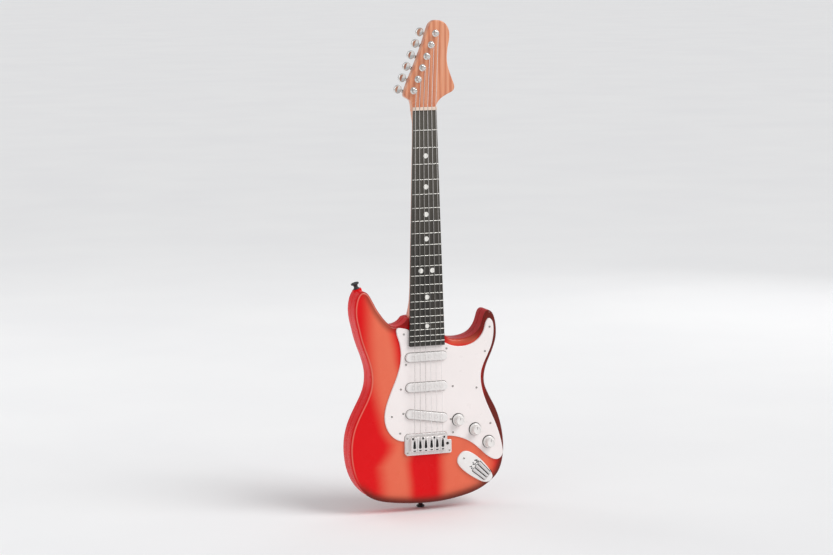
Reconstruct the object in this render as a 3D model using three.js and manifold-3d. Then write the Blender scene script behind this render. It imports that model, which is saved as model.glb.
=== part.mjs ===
// Toy electric guitar, 1 unit = 1 mm, +Z up along the neck, +X towards the treble side,
// -Y towards the player's audience. The origin is the middle of the flat back of the body.
// Depths are given as D, measured forwards from the back face, so Y = -D.
import * as THREE from 'three';
import { mergeVertices } from 'three/addons/utils/BufferGeometryUtils.js';
import Module from 'manifold-3d';

const wasm = await Module();
wasm.setup();

// ---------------------------------------------------------------- driving dimensions
const GAP = 0.3;             // air between neighbouring pieces
const BODY_D = 38.0;         // thickness of the body
const SPLIT_D = 17.0;        // depth of the joint between the two body shells
const WALL = 2.6;            // wall of the body shells
const EDGE_R = 4.5;          // rounding of the body's rim
const PG_D0 = 38.3;          // pickguard, underside
const PG_D1 = 39.9;          // pickguard, face
const HEEL_HALF = 22.5;      // half width of the neck heel in its pocket
const HEEL_Z0 = 106.0;       // lower end of the heel
const HEEL_Z1 = 145.4;       // where the heel leaves the body
const NECK_D1 = 40.1;        // flat of the neck under the fretboard
const FB_D0 = 40.4;          // fretboard, underside
const FB_D1 = 44.2;          // fretboard, face
const FB_Z0 = 105.2;         // fretboard, body end
const NUT_Z = 430.0;         // where the open strings leave the nut
const FB_HALF0 = 25.9;       // half width of the fretboard at the body end
const FB_HALF1 = 16.8;       // half width at the nut
const BOARD_Z1 = 431.4;      // upper end of the fretboard, against the nut
const SCALE = 452.5;         // open string length
const FRETS = 21;
const NUT_PITCH = 5.95;      // string spacing at the nut
const SADDLE_PITCH = 8.35;   // string spacing at the bridge
const STRING_R = [0.55, 0.52, 0.49, 0.46, 0.43, 0.4];
const NUT_STRING_D = 45.9;
const SADDLE_STRING_D = 46.6;
const HEAD_D0 = 28.0;        // headstock, back face
const HEAD_D1 = 39.6;        // headstock, front face
const POST0 = [-15.0, 458.8];    // first tuner post
const POST_STEP = [6.5, 15.5];   // from one post to the next
const KNOB_POS = [[46.4, -3.4], [71.5, -18.4], [91.8, -37.9]];
const PICKUPS = [             // centre x, centre z, length, height, tilt in degrees
  ['pickup_neck', -0.6, 89.6, 61.5, 12.4, 0],
  ['pickup_middle', -0.4, 47.2, 61.5, 13.0, 0],
  ['pickup_bridge', -0.6, 5.8, 62.0, 12.8, -9]];
const KEY_C = [80.6, -78.6];     // middle key
const KEY_ANGLE = -43;           // direction of the keys, degrees
const KEY_PITCH = 6.1;
const KEY_L = 25, KEY_W = 4.6;
const DOOR = { x0: -70.2, x1: -25.8, z0: -86.7, z1: -27.3, t: 2.3 };
const DOOR_SCREW_Z = -31.2;
const SPEAKER_C = [46, -58];
const SCREWS = [[-90, 158], [92, 118], [-101, -40], [101, -48]]; // case screws

// outlines in the X, Z plane
const BODY_OUTLINE = [[-25.3,143.1],[-30.2,138],[-36.8,134.5],[-44,133.6],[-51.2,136.4],[-58.2,143.1],[-64.5,151.2],[-69.8,159],[-73.9,166.6],[-77.6,173.6],[-80.6,178.8],[-84,182.6],[-88.2,184.6],[-92.2,184.4],[-96,181.4],[-99.3,175.2],[-101.6,166],[-102.3,155.5],[-101.2,144.6],[-98.4,132.2],[-95,118],[-90.4,103.7],[-85.1,89.3],[-81.3,75.3],[-80,61.5],[-81.7,47.8],[-86.6,34.4],[-93.7,20.9],[-100.7,7.4],[-106.5,-6.4],[-110,-20.4],[-111.5,-34.5],[-111,-48.8],[-108.8,-63.3],[-104.6,-77],[-99.4,-87.2],[-92.4,-96.6],[-83,-105],[-69.5,-111],[-54.4,-114.4],[-32.3,-117.2],[-10,-118.7],[8,-119],[25,-118],[42,-115.7],[58,-112.5],[72.6,-108.2],[85,-102.6],[96.4,-95],[106.6,-84.8],[112.8,-71.5],[115.7,-54.5],[115.7,-37],[111.8,-12.6],[104.9,8],[94,29.5],[88.2,44],[87.4,55.8],[90.6,70.6],[100,92],[105.2,108.3],[106,122],[104.3,135],[101.6,142.8],[98.6,146.9],[95.4,148.5],[92,148],[89.2,145.4],[87.2,140.9],[85.4,134.9],[83,128.4],[79.2,122.3],[73.6,116.9],[65.6,113],[54.6,110.9],[44.2,111.1],[36.6,112.8],[30.4,116.4],[26,121.4],[24.6,127.5],[23.9,133.5],[21.6,139.5],[17,143.2],[10,144.8],[-10,144.8],[-18,144.6]];
const PICKGUARD_OUTLINE = [[28.0,107.3],[37.1,103.1],[47.7,101.0],[58.3,101.3],[67.9,103.9],[75.7,108.5],[81.7,114.6],[85.7,122.0],[88.9,132.7],[91.2,136.7],[92.5,137.7],[93.5,138.0],[94.8,137.7],[96.7,136.2],[98.8,132.7],[100.0,126.7],[99.6,113.4],[96.9,100.8],[91.4,87.8],[84.0,72.5],[81.0,62.1],[80.6,50.8],[82.8,37.4],[87.6,22.4],[95.3,4.6],[103.1,-13.4],[108.6,-29.6],[112.4,-46.5],[113.0,-54.6],[111.8,-58.6],[109.6,-61.4],[106.5,-63.3],[103.2,-63.8],[98.4,-62.7],[90.4,-58.0],[78.8,-47.5],[67.7,-37.9],[56.5,-31.4],[43.9,-26.9],[30.8,-24.7],[0.0,-24.5],[-33.0,-28.1],[-40.3,-26.9],[-47.0,-23.5],[-53.2,-17.9],[-58.3,-9.9],[-61.3,-0.6],[-62.0,9.7],[-59.7,22.5],[-53.2,40.5],[-43.6,63.3],[-38.6,80.0],[-37.2,94.0],[-38.6,108.4],[-43.1,124.4],[-42.9,130.3],[-39.9,131.8],[-35.9,131.3],[-26.4,128.8],[-24.0,127.0],[24.0,108.0]];
const PANEL_OUTLINE = [[44.6,-62.0],[45.3,-57.5],[48.3,-52.7],[52.5,-49.5],[56.7,-48.4],[62.0,-49.4],[69.8,-53.8],[79.6,-61.8],[87.9,-70.9],[94.9,-80.9],[97.1,-86.3],[96.9,-89.4],[95.1,-92.4],[91.6,-94.7],[87.3,-95.4],[81.2,-93.9],[70.5,-88.2],[59.6,-80.8],[50.5,-72.7],[45.9,-66.5]];
const HEAD_OUTLINE = [[-16.7,434],[-17.9,442.2],[-19.3,445.1],[-21.7,447.1],[-26,449.7],[-27.3,451],[-27.8,452.6],[-27.2,456.9],[-22.5,470.1],[-15.2,486.3],[-8,503.2],[-0.8,521],[4.9,537.9],[9.1,548.4],[12,551.5],[15.7,553.7],[22.1,554.1],[28,552.5],[32.4,549.4],[36,544.3],[38.1,537.5],[38,528.9],[35.3,514.5],[34.3,501.8],[35.6,490.9],[39.9,478],[44.5,465.4],[44.8,461.1],[43.9,458.6],[41.4,456.2],[31.9,451.5],[25,447],[19.6,440.7],[16.7,434]];

// ---------------------------------------------------------------- helpers
// One closed, merged solid from any closed three.js geometry, faces pointing out.
function solid(geometry) {
  let g = geometry.clone();
  for (const n of Object.keys(g.attributes)) if (n !== 'position') g.deleteAttribute(n);
  g = mergeVertices(g, 1e-4);
  const p = g.attributes.position;
  const idx = Array.from(g.index.array);
  const tri = [];
  let vol = 0;
  const a = new THREE.Vector3(), b = new THREE.Vector3(), c = new THREE.Vector3();
  for (let i = 0; i < idx.length; i += 3) {
    if (idx[i] === idx[i + 1] || idx[i + 1] === idx[i + 2] || idx[i] === idx[i + 2]) continue;
    a.fromBufferAttribute(p, idx[i]); b.fromBufferAttribute(p, idx[i + 1]); c.fromBufferAttribute(p, idx[i + 2]);
    vol += a.dot(b.clone().cross(c));
    tri.push(idx[i], idx[i + 1], idx[i + 2]);
  }
  if (vol < 0) for (let i = 0; i < tri.length; i += 3) [tri[i + 1], tri[i + 2]] = [tri[i + 2], tri[i + 1]];
  return new wasm.Manifold(new wasm.Mesh({
    numProp: 3, vertProperties: new Float32Array(p.array), triVerts: new Uint32Array(tri) }));
}
const join = (list) => list.reduce((s, x) => s.add(x));

// Plate with an outline in X, Z, from depth d0 to d1.
function slab(pts, d0, d1) {
  const shape = new THREE.Shape(pts.map(([x, z]) => new THREE.Vector2(x, z)));
  const g = new THREE.ExtrudeGeometry(shape, { depth: d1 - d0, bevelEnabled: false, curveSegments: 1 });
  g.translate(0, 0, d0);
  g.rotateX(Math.PI / 2);
  return solid(g);
}
// The same with rounded rims on both faces.
function slabRound(pts, d0, d1, r, segments, rIn = r) {
  const shape = new THREE.Shape(pts.map(([x, z]) => new THREE.Vector2(x, z)));
  const g = new THREE.ExtrudeGeometry(shape, { depth: d1 - d0 - 2 * r, bevelEnabled: true, bevelThickness: r,
    bevelSize: rIn, bevelOffset: -rIn, bevelSegments: segments, curveSegments: 1 });
  g.translate(0, 0, d0 + r);
  g.rotateX(Math.PI / 2);
  return solid(g);
}
function box(x0, x1, z0, z1, d0, d1) {
  const g = new THREE.BoxGeometry(x1 - x0, d1 - d0, z1 - z0);
  g.translate((x0 + x1) / 2, -(d0 + d1) / 2, (z0 + z1) / 2);
  return solid(g);
}
// Round bar or cone along the depth direction.
function pin(x, z, d0, d1, r0, r1 = r0, segments = 12) {
  const g = new THREE.CylinderGeometry(r0, r1, d1 - d0, segments);
  g.translate(x, -(d0 + d1) / 2, z);
  return solid(g);
}
// Turned piece along the depth direction; profile is a list of [radius, depth].
function turned(x, z, profile, segments = 16) {
  const g = new THREE.LatheGeometry(profile.map(([r, d]) => new THREE.Vector2(r, -d)), segments);
  g.translate(x, 0, z);
  return solid(g);
}
// Any geometry with its own axis along +Y, aimed from point a along direction v.
function aimed(geometry, a, v) {
  const g = geometry.clone();
  g.applyQuaternion(new THREE.Quaternion().setFromUnitVectors(new THREE.Vector3(0, 1, 0),
    new THREE.Vector3(...v).normalize()));
  g.translate(...a);
  return solid(g);
}
// Skin through a row of sections with the same number of points each, closed by flat ends.
function loft(sections) {
  const k = sections[0].length, rows = sections.length;
  const g = new THREE.CylinderGeometry(1, 1, 1, k, rows - 1);
  const p = g.attributes.position;
  for (let i = 0; i < p.count; i++) {
    const x = p.getX(i), y = p.getY(i), z = p.getZ(i);
    const row = sections[Math.round((0.5 - y) * (rows - 1))];
    if (Math.hypot(x, z) < 0.5) {
      const c = row.reduce((s, q) => [s[0] + q[0] / k, s[1] + q[1] / k, s[2] + q[2] / k], [0, 0, 0]);
      p.setXYZ(i, ...c);
    } else {
      const j = ((Math.round(Math.atan2(x, z) / (2 * Math.PI / k)) % k) + k) % k;
      p.setXYZ(i, ...row[j]);
    }
  }
  return solid(g);
}
// Round wire through points [x, y, z], radius r.
function wire(points, r, sides = 5) {
  const v = points.map((q) => new THREE.Vector3(...q));
  const sections = [];
  let side = new THREE.Vector3(1, 0, 0);
  for (let i = 0; i < v.length; i++) {
    const t0 = v[Math.max(i - 1, 0)], t1 = v[Math.min(i + 1, v.length - 1)];
    const t = t1.clone().sub(t0).normalize();
    side = side.clone().sub(t.clone().multiplyScalar(side.dot(t))).normalize();
    const up = t.clone().cross(side);
    sections.push(Array.from({ length: sides }, (_, j) => {
      const a = (j + 0.5) / sides * 2 * Math.PI;
      return v[i].clone().addScaledVector(side, r * Math.cos(a)).addScaledVector(up, r * Math.sin(a)).toArray();
    }));
  }
  return loft(sections);
}
// Outline moved inwards by d (outwards when negative).
function inset(pts, d) {
  let area = 0;
  pts.forEach((p, i) => { const q = pts[(i + 1) % pts.length]; area += p[0] * q[1] - q[0] * p[1]; });
  const s = Math.sign(area);
  return pts.map((p, i) => {
    const a = pts[(i + pts.length - 1) % pts.length], b = pts[(i + 1) % pts.length];
    const n1 = [-(p[1] - a[1]), p[0] - a[0]], n2 = [-(b[1] - p[1]), b[0] - p[0]];
    const l1 = Math.hypot(...n1), l2 = Math.hypot(...n2);
    const n = [n1[0] / l1 + n2[0] / l2, n1[1] / l1 + n2[1] / l2];
    const k = 2 * d * s / (n[0] * n[0] + n[1] * n[1]);
    return [p[0] + n[0] * k, p[1] + n[1] * k];
  });
}
function stadium(length, width, n = 6) {
  const r = width / 2, h = length / 2 - r, pts = [];
  for (let i = 0; i <= n; i++) { const a = -Math.PI / 2 + Math.PI * i / n; pts.push([h + r * Math.cos(a), r * Math.sin(a)]); }
  for (let i = 0; i <= n; i++) { const a = Math.PI / 2 + Math.PI * i / n; pts.push([-h + r * Math.cos(a), r * Math.sin(a)]); }
  return pts;
}
const turn = (pts, deg, cx, cz) => {
  const a = deg * Math.PI / 180, c = Math.cos(a), s = Math.sin(a);
  return pts.map(([x, z]) => [cx + x * c - z * s, cz + x * s + z * c]);
};
const rect = (l, w) => [[-l / 2, -w / 2], [l / 2, -w / 2], [l / 2, w / 2], [-l / 2, w / 2]];

// ---------------------------------------------------------------- finishes
const mat = (color, roughness, metalness = 0) => new THREE.MeshStandardMaterial({ color, roughness, metalness });
const RED = mat(0xd81c22, 0.18), WHITE = mat(0xf1ebe9, 0.35), BLACK = mat(0x2b2725, 0.45);
const WOOD = mat(0xd99a78, 0.5), SILVER = mat(0xc9c7c2, 0.25, 0.9), BONE = mat(0xe6cfc2, 0.45);
const DARK = mat(0x1c1c1e, 0.5), BOARD = mat(0x2f6b3d, 0.6), STEEL = mat(0xb5b5b5, 0.35, 0.9);
const CELL = mat(0x3a5f8a, 0.35, 0.4), CONE = mat(0x26262a, 0.8), GREY = mat(0x8d9094, 0.5);

const group = new THREE.Group();
function add(name, manifold, material, parent = group) {
  const m = manifold.getMesh();
  const g = new THREE.BufferGeometry();
  g.setAttribute('position', new THREE.BufferAttribute(new Float32Array(m.vertProperties), 3));
  g.setIndex(new THREE.BufferAttribute(new Uint32Array(m.triVerts), 1));
  g.computeVertexNormals();
  const mesh = new THREE.Mesh(g, material);
  mesh.name = name;
  parent.add(mesh);
  return mesh;
}

// ---------------------------------------------------------------- body shells
const whole = slabRound(BODY_OUTLINE, 0, BODY_D, EDGE_R, 2);
const heelRoom = box(-23, 23, HEEL_Z0 - 0.4, 170, SPLIT_D + 0.15, 60);
const heelWalls = box(-25.6, 25.6, HEEL_Z0 - 3, 160, SPLIT_D - 17, BODY_D);
const cavity = slab(inset(BODY_OUTLINE, WALL + 0.2), WALL, BODY_D - WALL);
// The cavity stops at the neck block; each case screw has a pillar through it.
let hollow = cavity.subtract(heelWalls);
for (const [x, z] of SCREWS) hollow = hollow.subtract(pin(x, z, 0, BODY_D, 4.6, 4.6, 8));
const shellStock = whole.subtract(hollow);

let front = shellStock.intersect(box(-200, 200, -200, 300, SPLIT_D + 0.15, 60)).subtract(heelRoom);
for (const [x, z] of KNOB_POS) front = front.subtract(pin(x, z, 30, 60, 4.2));
front = front.subtract(slab(turn(rect(KEY_L + 3.6, 2 * KEY_PITCH + 7.2), KEY_ANGLE, ...KEY_C), 30, 60));
for (const [x, z] of SCREWS) front = front.subtract(pin(x, z, 10, 29, 1.9, 1.9, 8));
add('body_front_shell', front, RED);

let rear = shellStock.intersect(box(-200, 200, -200, 300, -10, SPLIT_D - 0.15));
// seats of the two strap buttons
const TAIL = [0, -119.4], HORN = [-90.4, 184.6];
const HORN_V = [-0.3, 0, 0.954];
rear = rear.add(aimed(new THREE.CylinderGeometry(6.6, 6.6, 4, 16), [TAIL[0], -8.6, TAIL[1] + 1.2], [0, 0, 1]));
rear = rear.add(aimed(new THREE.CylinderGeometry(6.6, 6.6, 5, 16), [HORN[0] - HORN_V[0] * 1.7, -8.6, HORN[1] - HORN_V[2] * 1.7], HORN_V));
rear = rear.subtract(slab(inset(BODY_OUTLINE, WALL + 0.2), 20, 40));
rear = rear.subtract(box(DOOR.x0 - 0.3, DOOR.x1 + 0.3, DOOR.z0 - 0.3, DOOR.z1 + 0.3, -5, 6));
rear = rear.subtract(box(DOOR.x0 - 2.2, DOOR.x1 + 2.2, DOOR.z0 + 0.25, DOOR.z0 + 2.05, 0.4, 1.9));
[30, 42, 48, 42, 30].forEach((w, i) => {
  rear = rear.subtract(slab(stadium(w, 3.4, 2).map(([x, z]) => [SPEAKER_C[0] + x, SPEAKER_C[1] + z + (i - 2) * 8.2]), -3, 6));
});
for (const [x, z] of SCREWS) rear = rear.subtract(pin(x, z, -2, 20, 1.9, 1.9, 8)).subtract(pin(x, z, -2, 4.3, 3.6, 3.6, 10));
const NECK_SCREWS = [[-12, 113], [12, 113], [-12, 132], [12, 132]];
for (const [x, z] of NECK_SCREWS) rear = rear.subtract(pin(x, z, -2, 20, 1.9, 1.9, 8)).subtract(pin(x, z, -2, 4.3, 3.6, 3.6, 10));
// stand-offs for the main board and the ring round the speaker
for (const [x, z] of [[-28, 18], [28, 18], [-28, 68], [28, 68]]) rear = rear.add(pin(x, z, 2, 15.6, 3, 3, 6));
rear = rear.add(turned(...SPEAKER_C, [[29.2, 2], [30.8, 2], [30.8, 7.5], [29.2, 7.5], [29.2, 2]], 16));
add('body_rear_shell', rear, RED);

// ---------------------------------------------------------------- neck, fretboard, frets
function neckSection(z, half, dBack, n) {
  const pts = [[half, NECK_D1], [half * 0.33, NECK_D1], [-half * 0.33, NECK_D1], [-half, NECK_D1]];
  const depth = NECK_D1 - 1.2 - dBack;
  for (let i = 0; i <= 8; i++) {
    const f = Math.PI * i / 8;
    const cx = Math.cos(f), sx = Math.sin(f);
    pts.push([-half * Math.sign(cx) * Math.pow(Math.abs(cx), 2 / n), NECK_D1 - 1.2 - depth * Math.pow(Math.abs(sx), 2 / n)]);
  }
  return pts.map(([x, d]) => [x, -d, z]);
}
const NECK_ROWS = [[HEEL_Z0, HEEL_HALF, 17.15, 9], [HEEL_Z1, HEEL_HALF, 17.15, 9], [147, 24.0, 17.4, 7],
  [152, 23.9, 18.4, 5], [160, 23.7, 21, 3.4], [170, 23.4, 23.6, 2.7], [186, 23.0, 24.8, 2.3],
  [300, 19.8, 25.8, 2.2], [412, 16.7, 26.9, 2.2], [428, 16.4, 27.6, 2.4], [438, 16.4, 28.4, 2.8]];
let neck = loft(NECK_ROWS.map((r) => neckSection(...r)));
neck = neck.add(slabRound(HEAD_OUTLINE, HEAD_D0, HEAD_D1, 1.6, 1)
  .add(box(-15.2, 15.2, 425, 440, HEAD_D0 + 0.4, HEAD_D1)));
neck = neck.subtract(box(-6, 6, 109, 424, 32, 60));
for (const [x, z] of NECK_SCREWS) neck = neck.subtract(pin(x, z, 10, 30, 1.9, 1.9, 8));
const posts = Array.from({ length: 6 }, (_, i) => [POST0[0] + i * POST_STEP[0], POST0[1] + i * POST_STEP[1]]);
for (const [x, z] of posts) neck = neck.subtract(pin(x, z, 20, 60, 3.1, 3.1, 10));
add('neck', neck, WOOD);

const fbHalf = (z) => FB_HALF0 + (FB_HALF1 - FB_HALF0) * (z - FB_Z0) / (NUT_Z - FB_Z0);
const fretZ = Array.from({ length: FRETS }, (_, i) => NUT_Z - SCALE * (1 - Math.pow(2, -(i + 1) / 12)));
let board = slabRound([[-FB_HALF0, FB_Z0], [FB_HALF0, FB_Z0], [FB_HALF1, BOARD_Z1], [-FB_HALF1, BOARD_Z1]], FB_D0, FB_D1, 0.5, 1);
let ladder = box(-4, 4, 110, 408, 37.2, 39.7);
for (const z of fretZ) {
  board = board.subtract(box(-3, 3, z - 0.9, z + 0.9, 30, 60));
  const half = fbHalf(z) - 0.7;
  const g = new THREE.CylinderGeometry(1, 1, 2 * half, 6);
  g.rotateZ(Math.PI / 2);
  g.scale(1, 1.0, 0.95);
  g.translate(0, -44.55, z);
  ladder = ladder.add(solid(g).intersect(box(-40, 40, z - 2, z + 2, 44.5, 50)));
  ladder = ladder.add(box(-2.6, 2.6, z - 0.6, z + 0.6, 38, 44.9));
}
add('fretboard', board, BLACK);
add('fret_ladder', ladder, SILVER);

const stringX = (i, pitch) => (i - 2.5) * pitch;
let nut = box(-16.6, 16.6, BOARD_Z1 + GAP, BOARD_Z1 + 4.8, NECK_D1 + GAP, 46.4);
for (let i = 0; i < 6; i++) nut = nut.subtract(box(stringX(i, NUT_PITCH) - 0.9, stringX(i, NUT_PITCH) + 0.9, BOARD_Z1 - 2, BOARD_Z1 + 8, 45.0, 50));
add('nut', nut, BONE);

// ---------------------------------------------------------------- strings
posts.forEach(([px, pz], i) => {
  const r = STRING_R[i], xn = stringX(i, NUT_PITCH), xb = stringX(i, SADDLE_PITCH);
  const loopR = 2.3 + 0.45 + r, dPost = 44.2;
  const pts = [];
  // one turn round the waist of the post, then down to the nut on the treble side
  for (let k = 0; k <= 8; k++) {
    const a = -1.5 * Math.PI * (1 - k / 8);
    pts.push([px + loopR * Math.cos(a), -(dPost + 1.3 * (1 - k / 8)), pz + loopR * Math.sin(a)]);
  }
  pts.push([xn, -NUT_STRING_D, BOARD_Z1 + 5.2], [xn, -NUT_STRING_D, BOARD_Z1 - 0.2]);
  pts.push([xb, -SADDLE_STRING_D, -24], [xb, -SADDLE_STRING_D + 0.3, -26.5], [xb, -42.2, -33.6]);
  add('string_' + (i + 1), wire(pts, r), STEEL);
});

// ---------------------------------------------------------------- pickguard and pickups
const BRIDGE = [[-33.4, -45.6], [-33.4, -21.4], [-30.4, -18.4], [26.4, -18.4], [29.4, -21.4], [29.4, -29.6],
  [34.6, -29.6], [35.7, -30.7], [35.7, -47.2], [34.2, -48.8], [-30.4, -48.8]];
let guard = slab(PICKGUARD_OUTLINE, PG_D0, PG_D1);
guard = guard.subtract(slab(inset(BRIDGE, -0.5), 30, 50)).subtract(box(-23, 23, HEEL_Z0 - 0.4, 200, 30, 50));
for (const [x, z] of KNOB_POS) guard = guard.subtract(pin(x, z, 30, 50, 4.2));
add('pickguard', guard, WHITE);
for (const [name, x, z, l, h, a] of PICKUPS)
  add(name, slabRound(turn(stadium(l, h, 7), a, x, z), PG_D1 + GAP, 43.6, 0.9, 1), WHITE);

// ---------------------------------------------------------------- bridge
const raised = (pts) => slabRound(pts, 38.5, 46.1, 1.0, 1);
let bridge = slab(BRIDGE, 38.3, 41.2);
bridge = bridge.add(raised([[-26, -43.5], [25.4, -43.5], [25.4, -22.6], [-26, -22.6]]));
for (let i = 0; i < 6; i++) {
  const x = stringX(i, SADDLE_PITCH);
  bridge = bridge.subtract(slab([[x - 1.3, -26.8], [x + 1.3, -26.8], [x + 1.8, -38], [x - 1.8, -38]], 38.9, 60));
  bridge = bridge.subtract(box(x - 0.9, x + 0.9, -30, -20, 45.6, 60));
}
bridge = bridge.subtract(box(-24.4, 24.4, -39.4, -29.4, 30, 41.4));
bridge = bridge.subtract(pin(29.6, -35.0, 30, 60, 2.1, 2.1, 12));
add('bridge_plate', bridge, SILVER);
add('string_anchor', box(-24, 24, -39, -29.8, 38.3, 41.0), DARK);

// ---------------------------------------------------------------- knobs and pots
KNOB_POS.forEach(([x, z], i) => {
  add('knob_' + (i + 1), turned(x, z, [[0, 27.5], [2.2, 27.5], [2.2, 40.3], [8.75, 40.3], [8.75, 41.3], [7.0, 43.0],
    [6.2, 49.2], [5.4, 50], [0, 50]], 16), WHITE);
});
// The three potentiometers sit on one board behind the front shell.
let pots = slab([[37, 6], [37, -12], [62, -30], [83, -46.5], [91, -46.5], [95.5, -41], [98.5, -30], [78, -8], [54, 6]], 23.4, 25);
for (const [x, z] of KNOB_POS) pots = pots.add(pin(x, z, 24.5, 34.8, 7.6, 7.6, 10)).add(pin(x, z, 34, 39.6, 3.7, 3.7, 10));
for (const [x, z] of KNOB_POS) pots = pots.subtract(pin(x, z, 27, 60, 2.5, 2.5, 8));
add('pot_board', pots, BOARD);

// ---------------------------------------------------------------- control panel and keys
const ka = KEY_ANGLE * Math.PI / 180, kp = [-Math.sin(ka), Math.cos(ka)];
const keyCentre = (j) => [KEY_C[0] + kp[0] * KEY_PITCH * j, KEY_C[1] + kp[1] * KEY_PITCH * j];
let panel = slabRound(PANEL_OUTLINE, 38.3, 41.0, 0.8, 1);
for (const j of [-1, 0, 1]) panel = panel.subtract(slab(turn(stadium(KEY_L + 0.6, KEY_W + 0.6, 4), KEY_ANGLE, ...keyCentre(j)), 30, 50));
add('control_panel', panel, WHITE);
[-1, 0, 1].forEach((j, i) => {
  const c = keyCentre(j);
  let key = slabRound(turn(stadium(KEY_L, KEY_W, 4), KEY_ANGLE, ...c), 36.2, 43.0, 0.8, 1);
  key = key.add(slab(turn(rect(KEY_L + 1.6, KEY_W + 0.9), KEY_ANGLE, ...c), 36.4, 37.8));
  key = key.add(pin(...c, 33.4, 37, 1.6, 1.6, 8));
  add('key_' + (i + 1), key, WHITE);
});
let kboard = slab(turn(rect(34, 21), KEY_ANGLE, ...KEY_C), 28.4, 30);
for (const j of [-1, 0, 1]) kboard = kboard.add(slab(turn(rect(4.4, 4.4), KEY_ANGLE, ...keyCentre(j)), 29.5, 31.8));
add('key_board', kboard, BOARD);

// ---------------------------------------------------------------- electronics
let mainBoard = box(-34, 34, 12, 74, 15.9, 17.5);
for (const [x, z, w, h, t] of [[-8, 40, 14, 14, 20], [14, 30, 8, 12, 20.5], [-24, 56, 6, 18, 22], [20, 60, 10, 6, 21]])
  mainBoard = mainBoard.add(box(x, x + w, z - h / 2, z + h / 2, 17, t));
mainBoard = mainBoard.add(pin(6, 20, 17, 27, 4, 4, 10));
add('main_board', mainBoard, BOARD);
add('speaker', turned(...SPEAKER_C, [[0, 7.4], [8, 8.4], [22, 4.6], [24.5, 3.3], [28.6, 3.3], [28.6, 5.4], [26, 5.8],
  [15.5, 14], [15.5, 21], [0, 21]], 16), CONE);

// ---------------------------------------------------------------- battery compartment
const bx = (DOOR.x0 + DOOR.x1) / 2, BZ0 = DOOR.z0 - 1.6, BZ1 = DOOR.z1 + 1.6;
let tub = box(DOOR.x0 - 1.6, DOOR.x1 + 1.6, BZ0, BZ1, WALL + GAP, 20.6)
  .subtract(box(bx - 23.1, bx + 23.1, -86.6, -34.0, -1, 18.9));
tub = tub.subtract(pin(bx, DOOR_SCREW_Z, 0, 4.9, 4.8, 4.8, 12)).subtract(pin(bx, DOOR_SCREW_Z, 4, 12, 2.6, 2.6, 10));
for (const x of [bx - 7.6, bx + 7.6]) tub = tub.add(box(x - 0.25, x + 0.25, -80, -40, 13.5, 19.2));
add('battery_box', tub, DARK);
let door = box(DOOR.x0, DOOR.x1, DOOR.z0 + 1.15, DOOR.z1, 0, DOOR.t);
const HINGE = [DOOR.z0 + 1.15, 1.15];
door = door.add(aimed(new THREE.CylinderGeometry(1.15, 1.15, DOOR.x1 - DOOR.x0, 12), [bx, -HINGE[1], HINGE[0]], [1, 0, 0]));
door = door.add(aimed(new THREE.CylinderGeometry(0.6, 0.6, DOOR.x1 - DOOR.x0 + 3.4, 8), [bx, -HINGE[1], HINGE[0]], [1, 0, 0]));
door = door.add(pin(bx, DOOR_SCREW_Z, 1, 4.4, 4.2, 4.2, 12));
door = door.subtract(pin(bx, DOOR_SCREW_Z, -1, 2.4, 3.1, 3.1, 12)).subtract(pin(bx, DOOR_SCREW_Z, -1, 6, 1.7, 1.7, 10));
for (let i = 0; i < 3; i++) door = door.subtract(box(bx - 9, bx + 9, -44.2 - i * 2.4, -43.2 - i * 2.4, -1, 0.5));
add('battery_door', door, RED);
add('battery_door_screw', pin(bx, DOOR_SCREW_Z, 0.4, 2.1, 2.7, 2.7, 12).add(pin(bx, DOOR_SCREW_Z, 1.5, 5.6, 1.35, 1.35, 8))
  .subtract(box(bx - 1.9, bx + 1.9, DOOR_SCREW_Z - 0.4, DOOR_SCREW_Z + 0.4, 0, 1.1)).subtract(box(bx - 0.4, bx + 0.4, DOOR_SCREW_Z - 1.9, DOOR_SCREW_Z + 1.9, 0, 1.1)), STEEL);
[-1, 0, 1].forEach((j, i) => {
  const x = bx + j * 15.2, up = i % 2 === 0 ? 1 : -1, c = -60.4;
  const prof = [[0, -24.4], [7.0, -24.4], [7.0, 23.2], [2.7, 23.6], [2.7, 25.0], [0, 25.0]];
  const g = new THREE.LatheGeometry(prof.map(([r, y]) => new THREE.Vector2(r, y)), 14);
  add('battery_' + (i + 1), aimed(g, [x, -11.2, c], [0, 0, up]), CELL);
});
// Sprung strips at the two ends of the cells.
const contact = (z0, z1, bumps, dir) => join([box(bx - 22.6, bx + 22.6, z0, z1, 6, 16.4),
  ...bumps.map((j) => aimed(new THREE.CylinderGeometry(2.4, 4.2, 0.9, 10), [bx + j * 15.2, -11.2, (dir > 0 ? z1 : z0) + dir * 0.35], [0, 0, dir]))]);
add('battery_contact_lower', contact(-86.3, -85.8, [-1, 1], 1), STEEL);
add('battery_contact_upper', contact(-34.8, -34.3, [0], -1), STEEL);

// ---------------------------------------------------------------- strap buttons
const strap = new THREE.LatheGeometry([[0, 0], [4.6, 0], [2.9, 1.8], [2.9, 5.2], [5.8, 7.0], [5.8, 8.2], [4.6, 9.0], [0, 9.0]]
  .map(([r, y]) => new THREE.Vector2(r, y)), 12);
add('strap_button_tail', aimed(strap, [TAIL[0], -8.6, TAIL[1] - 1.1], [0, 0, -1]), DARK);
add('strap_button_horn', aimed(strap, [HORN[0] + HORN_V[0] * 1.1, -8.6, HORN[1] + HORN_V[2] * 1.1], HORN_V), DARK);

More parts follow.
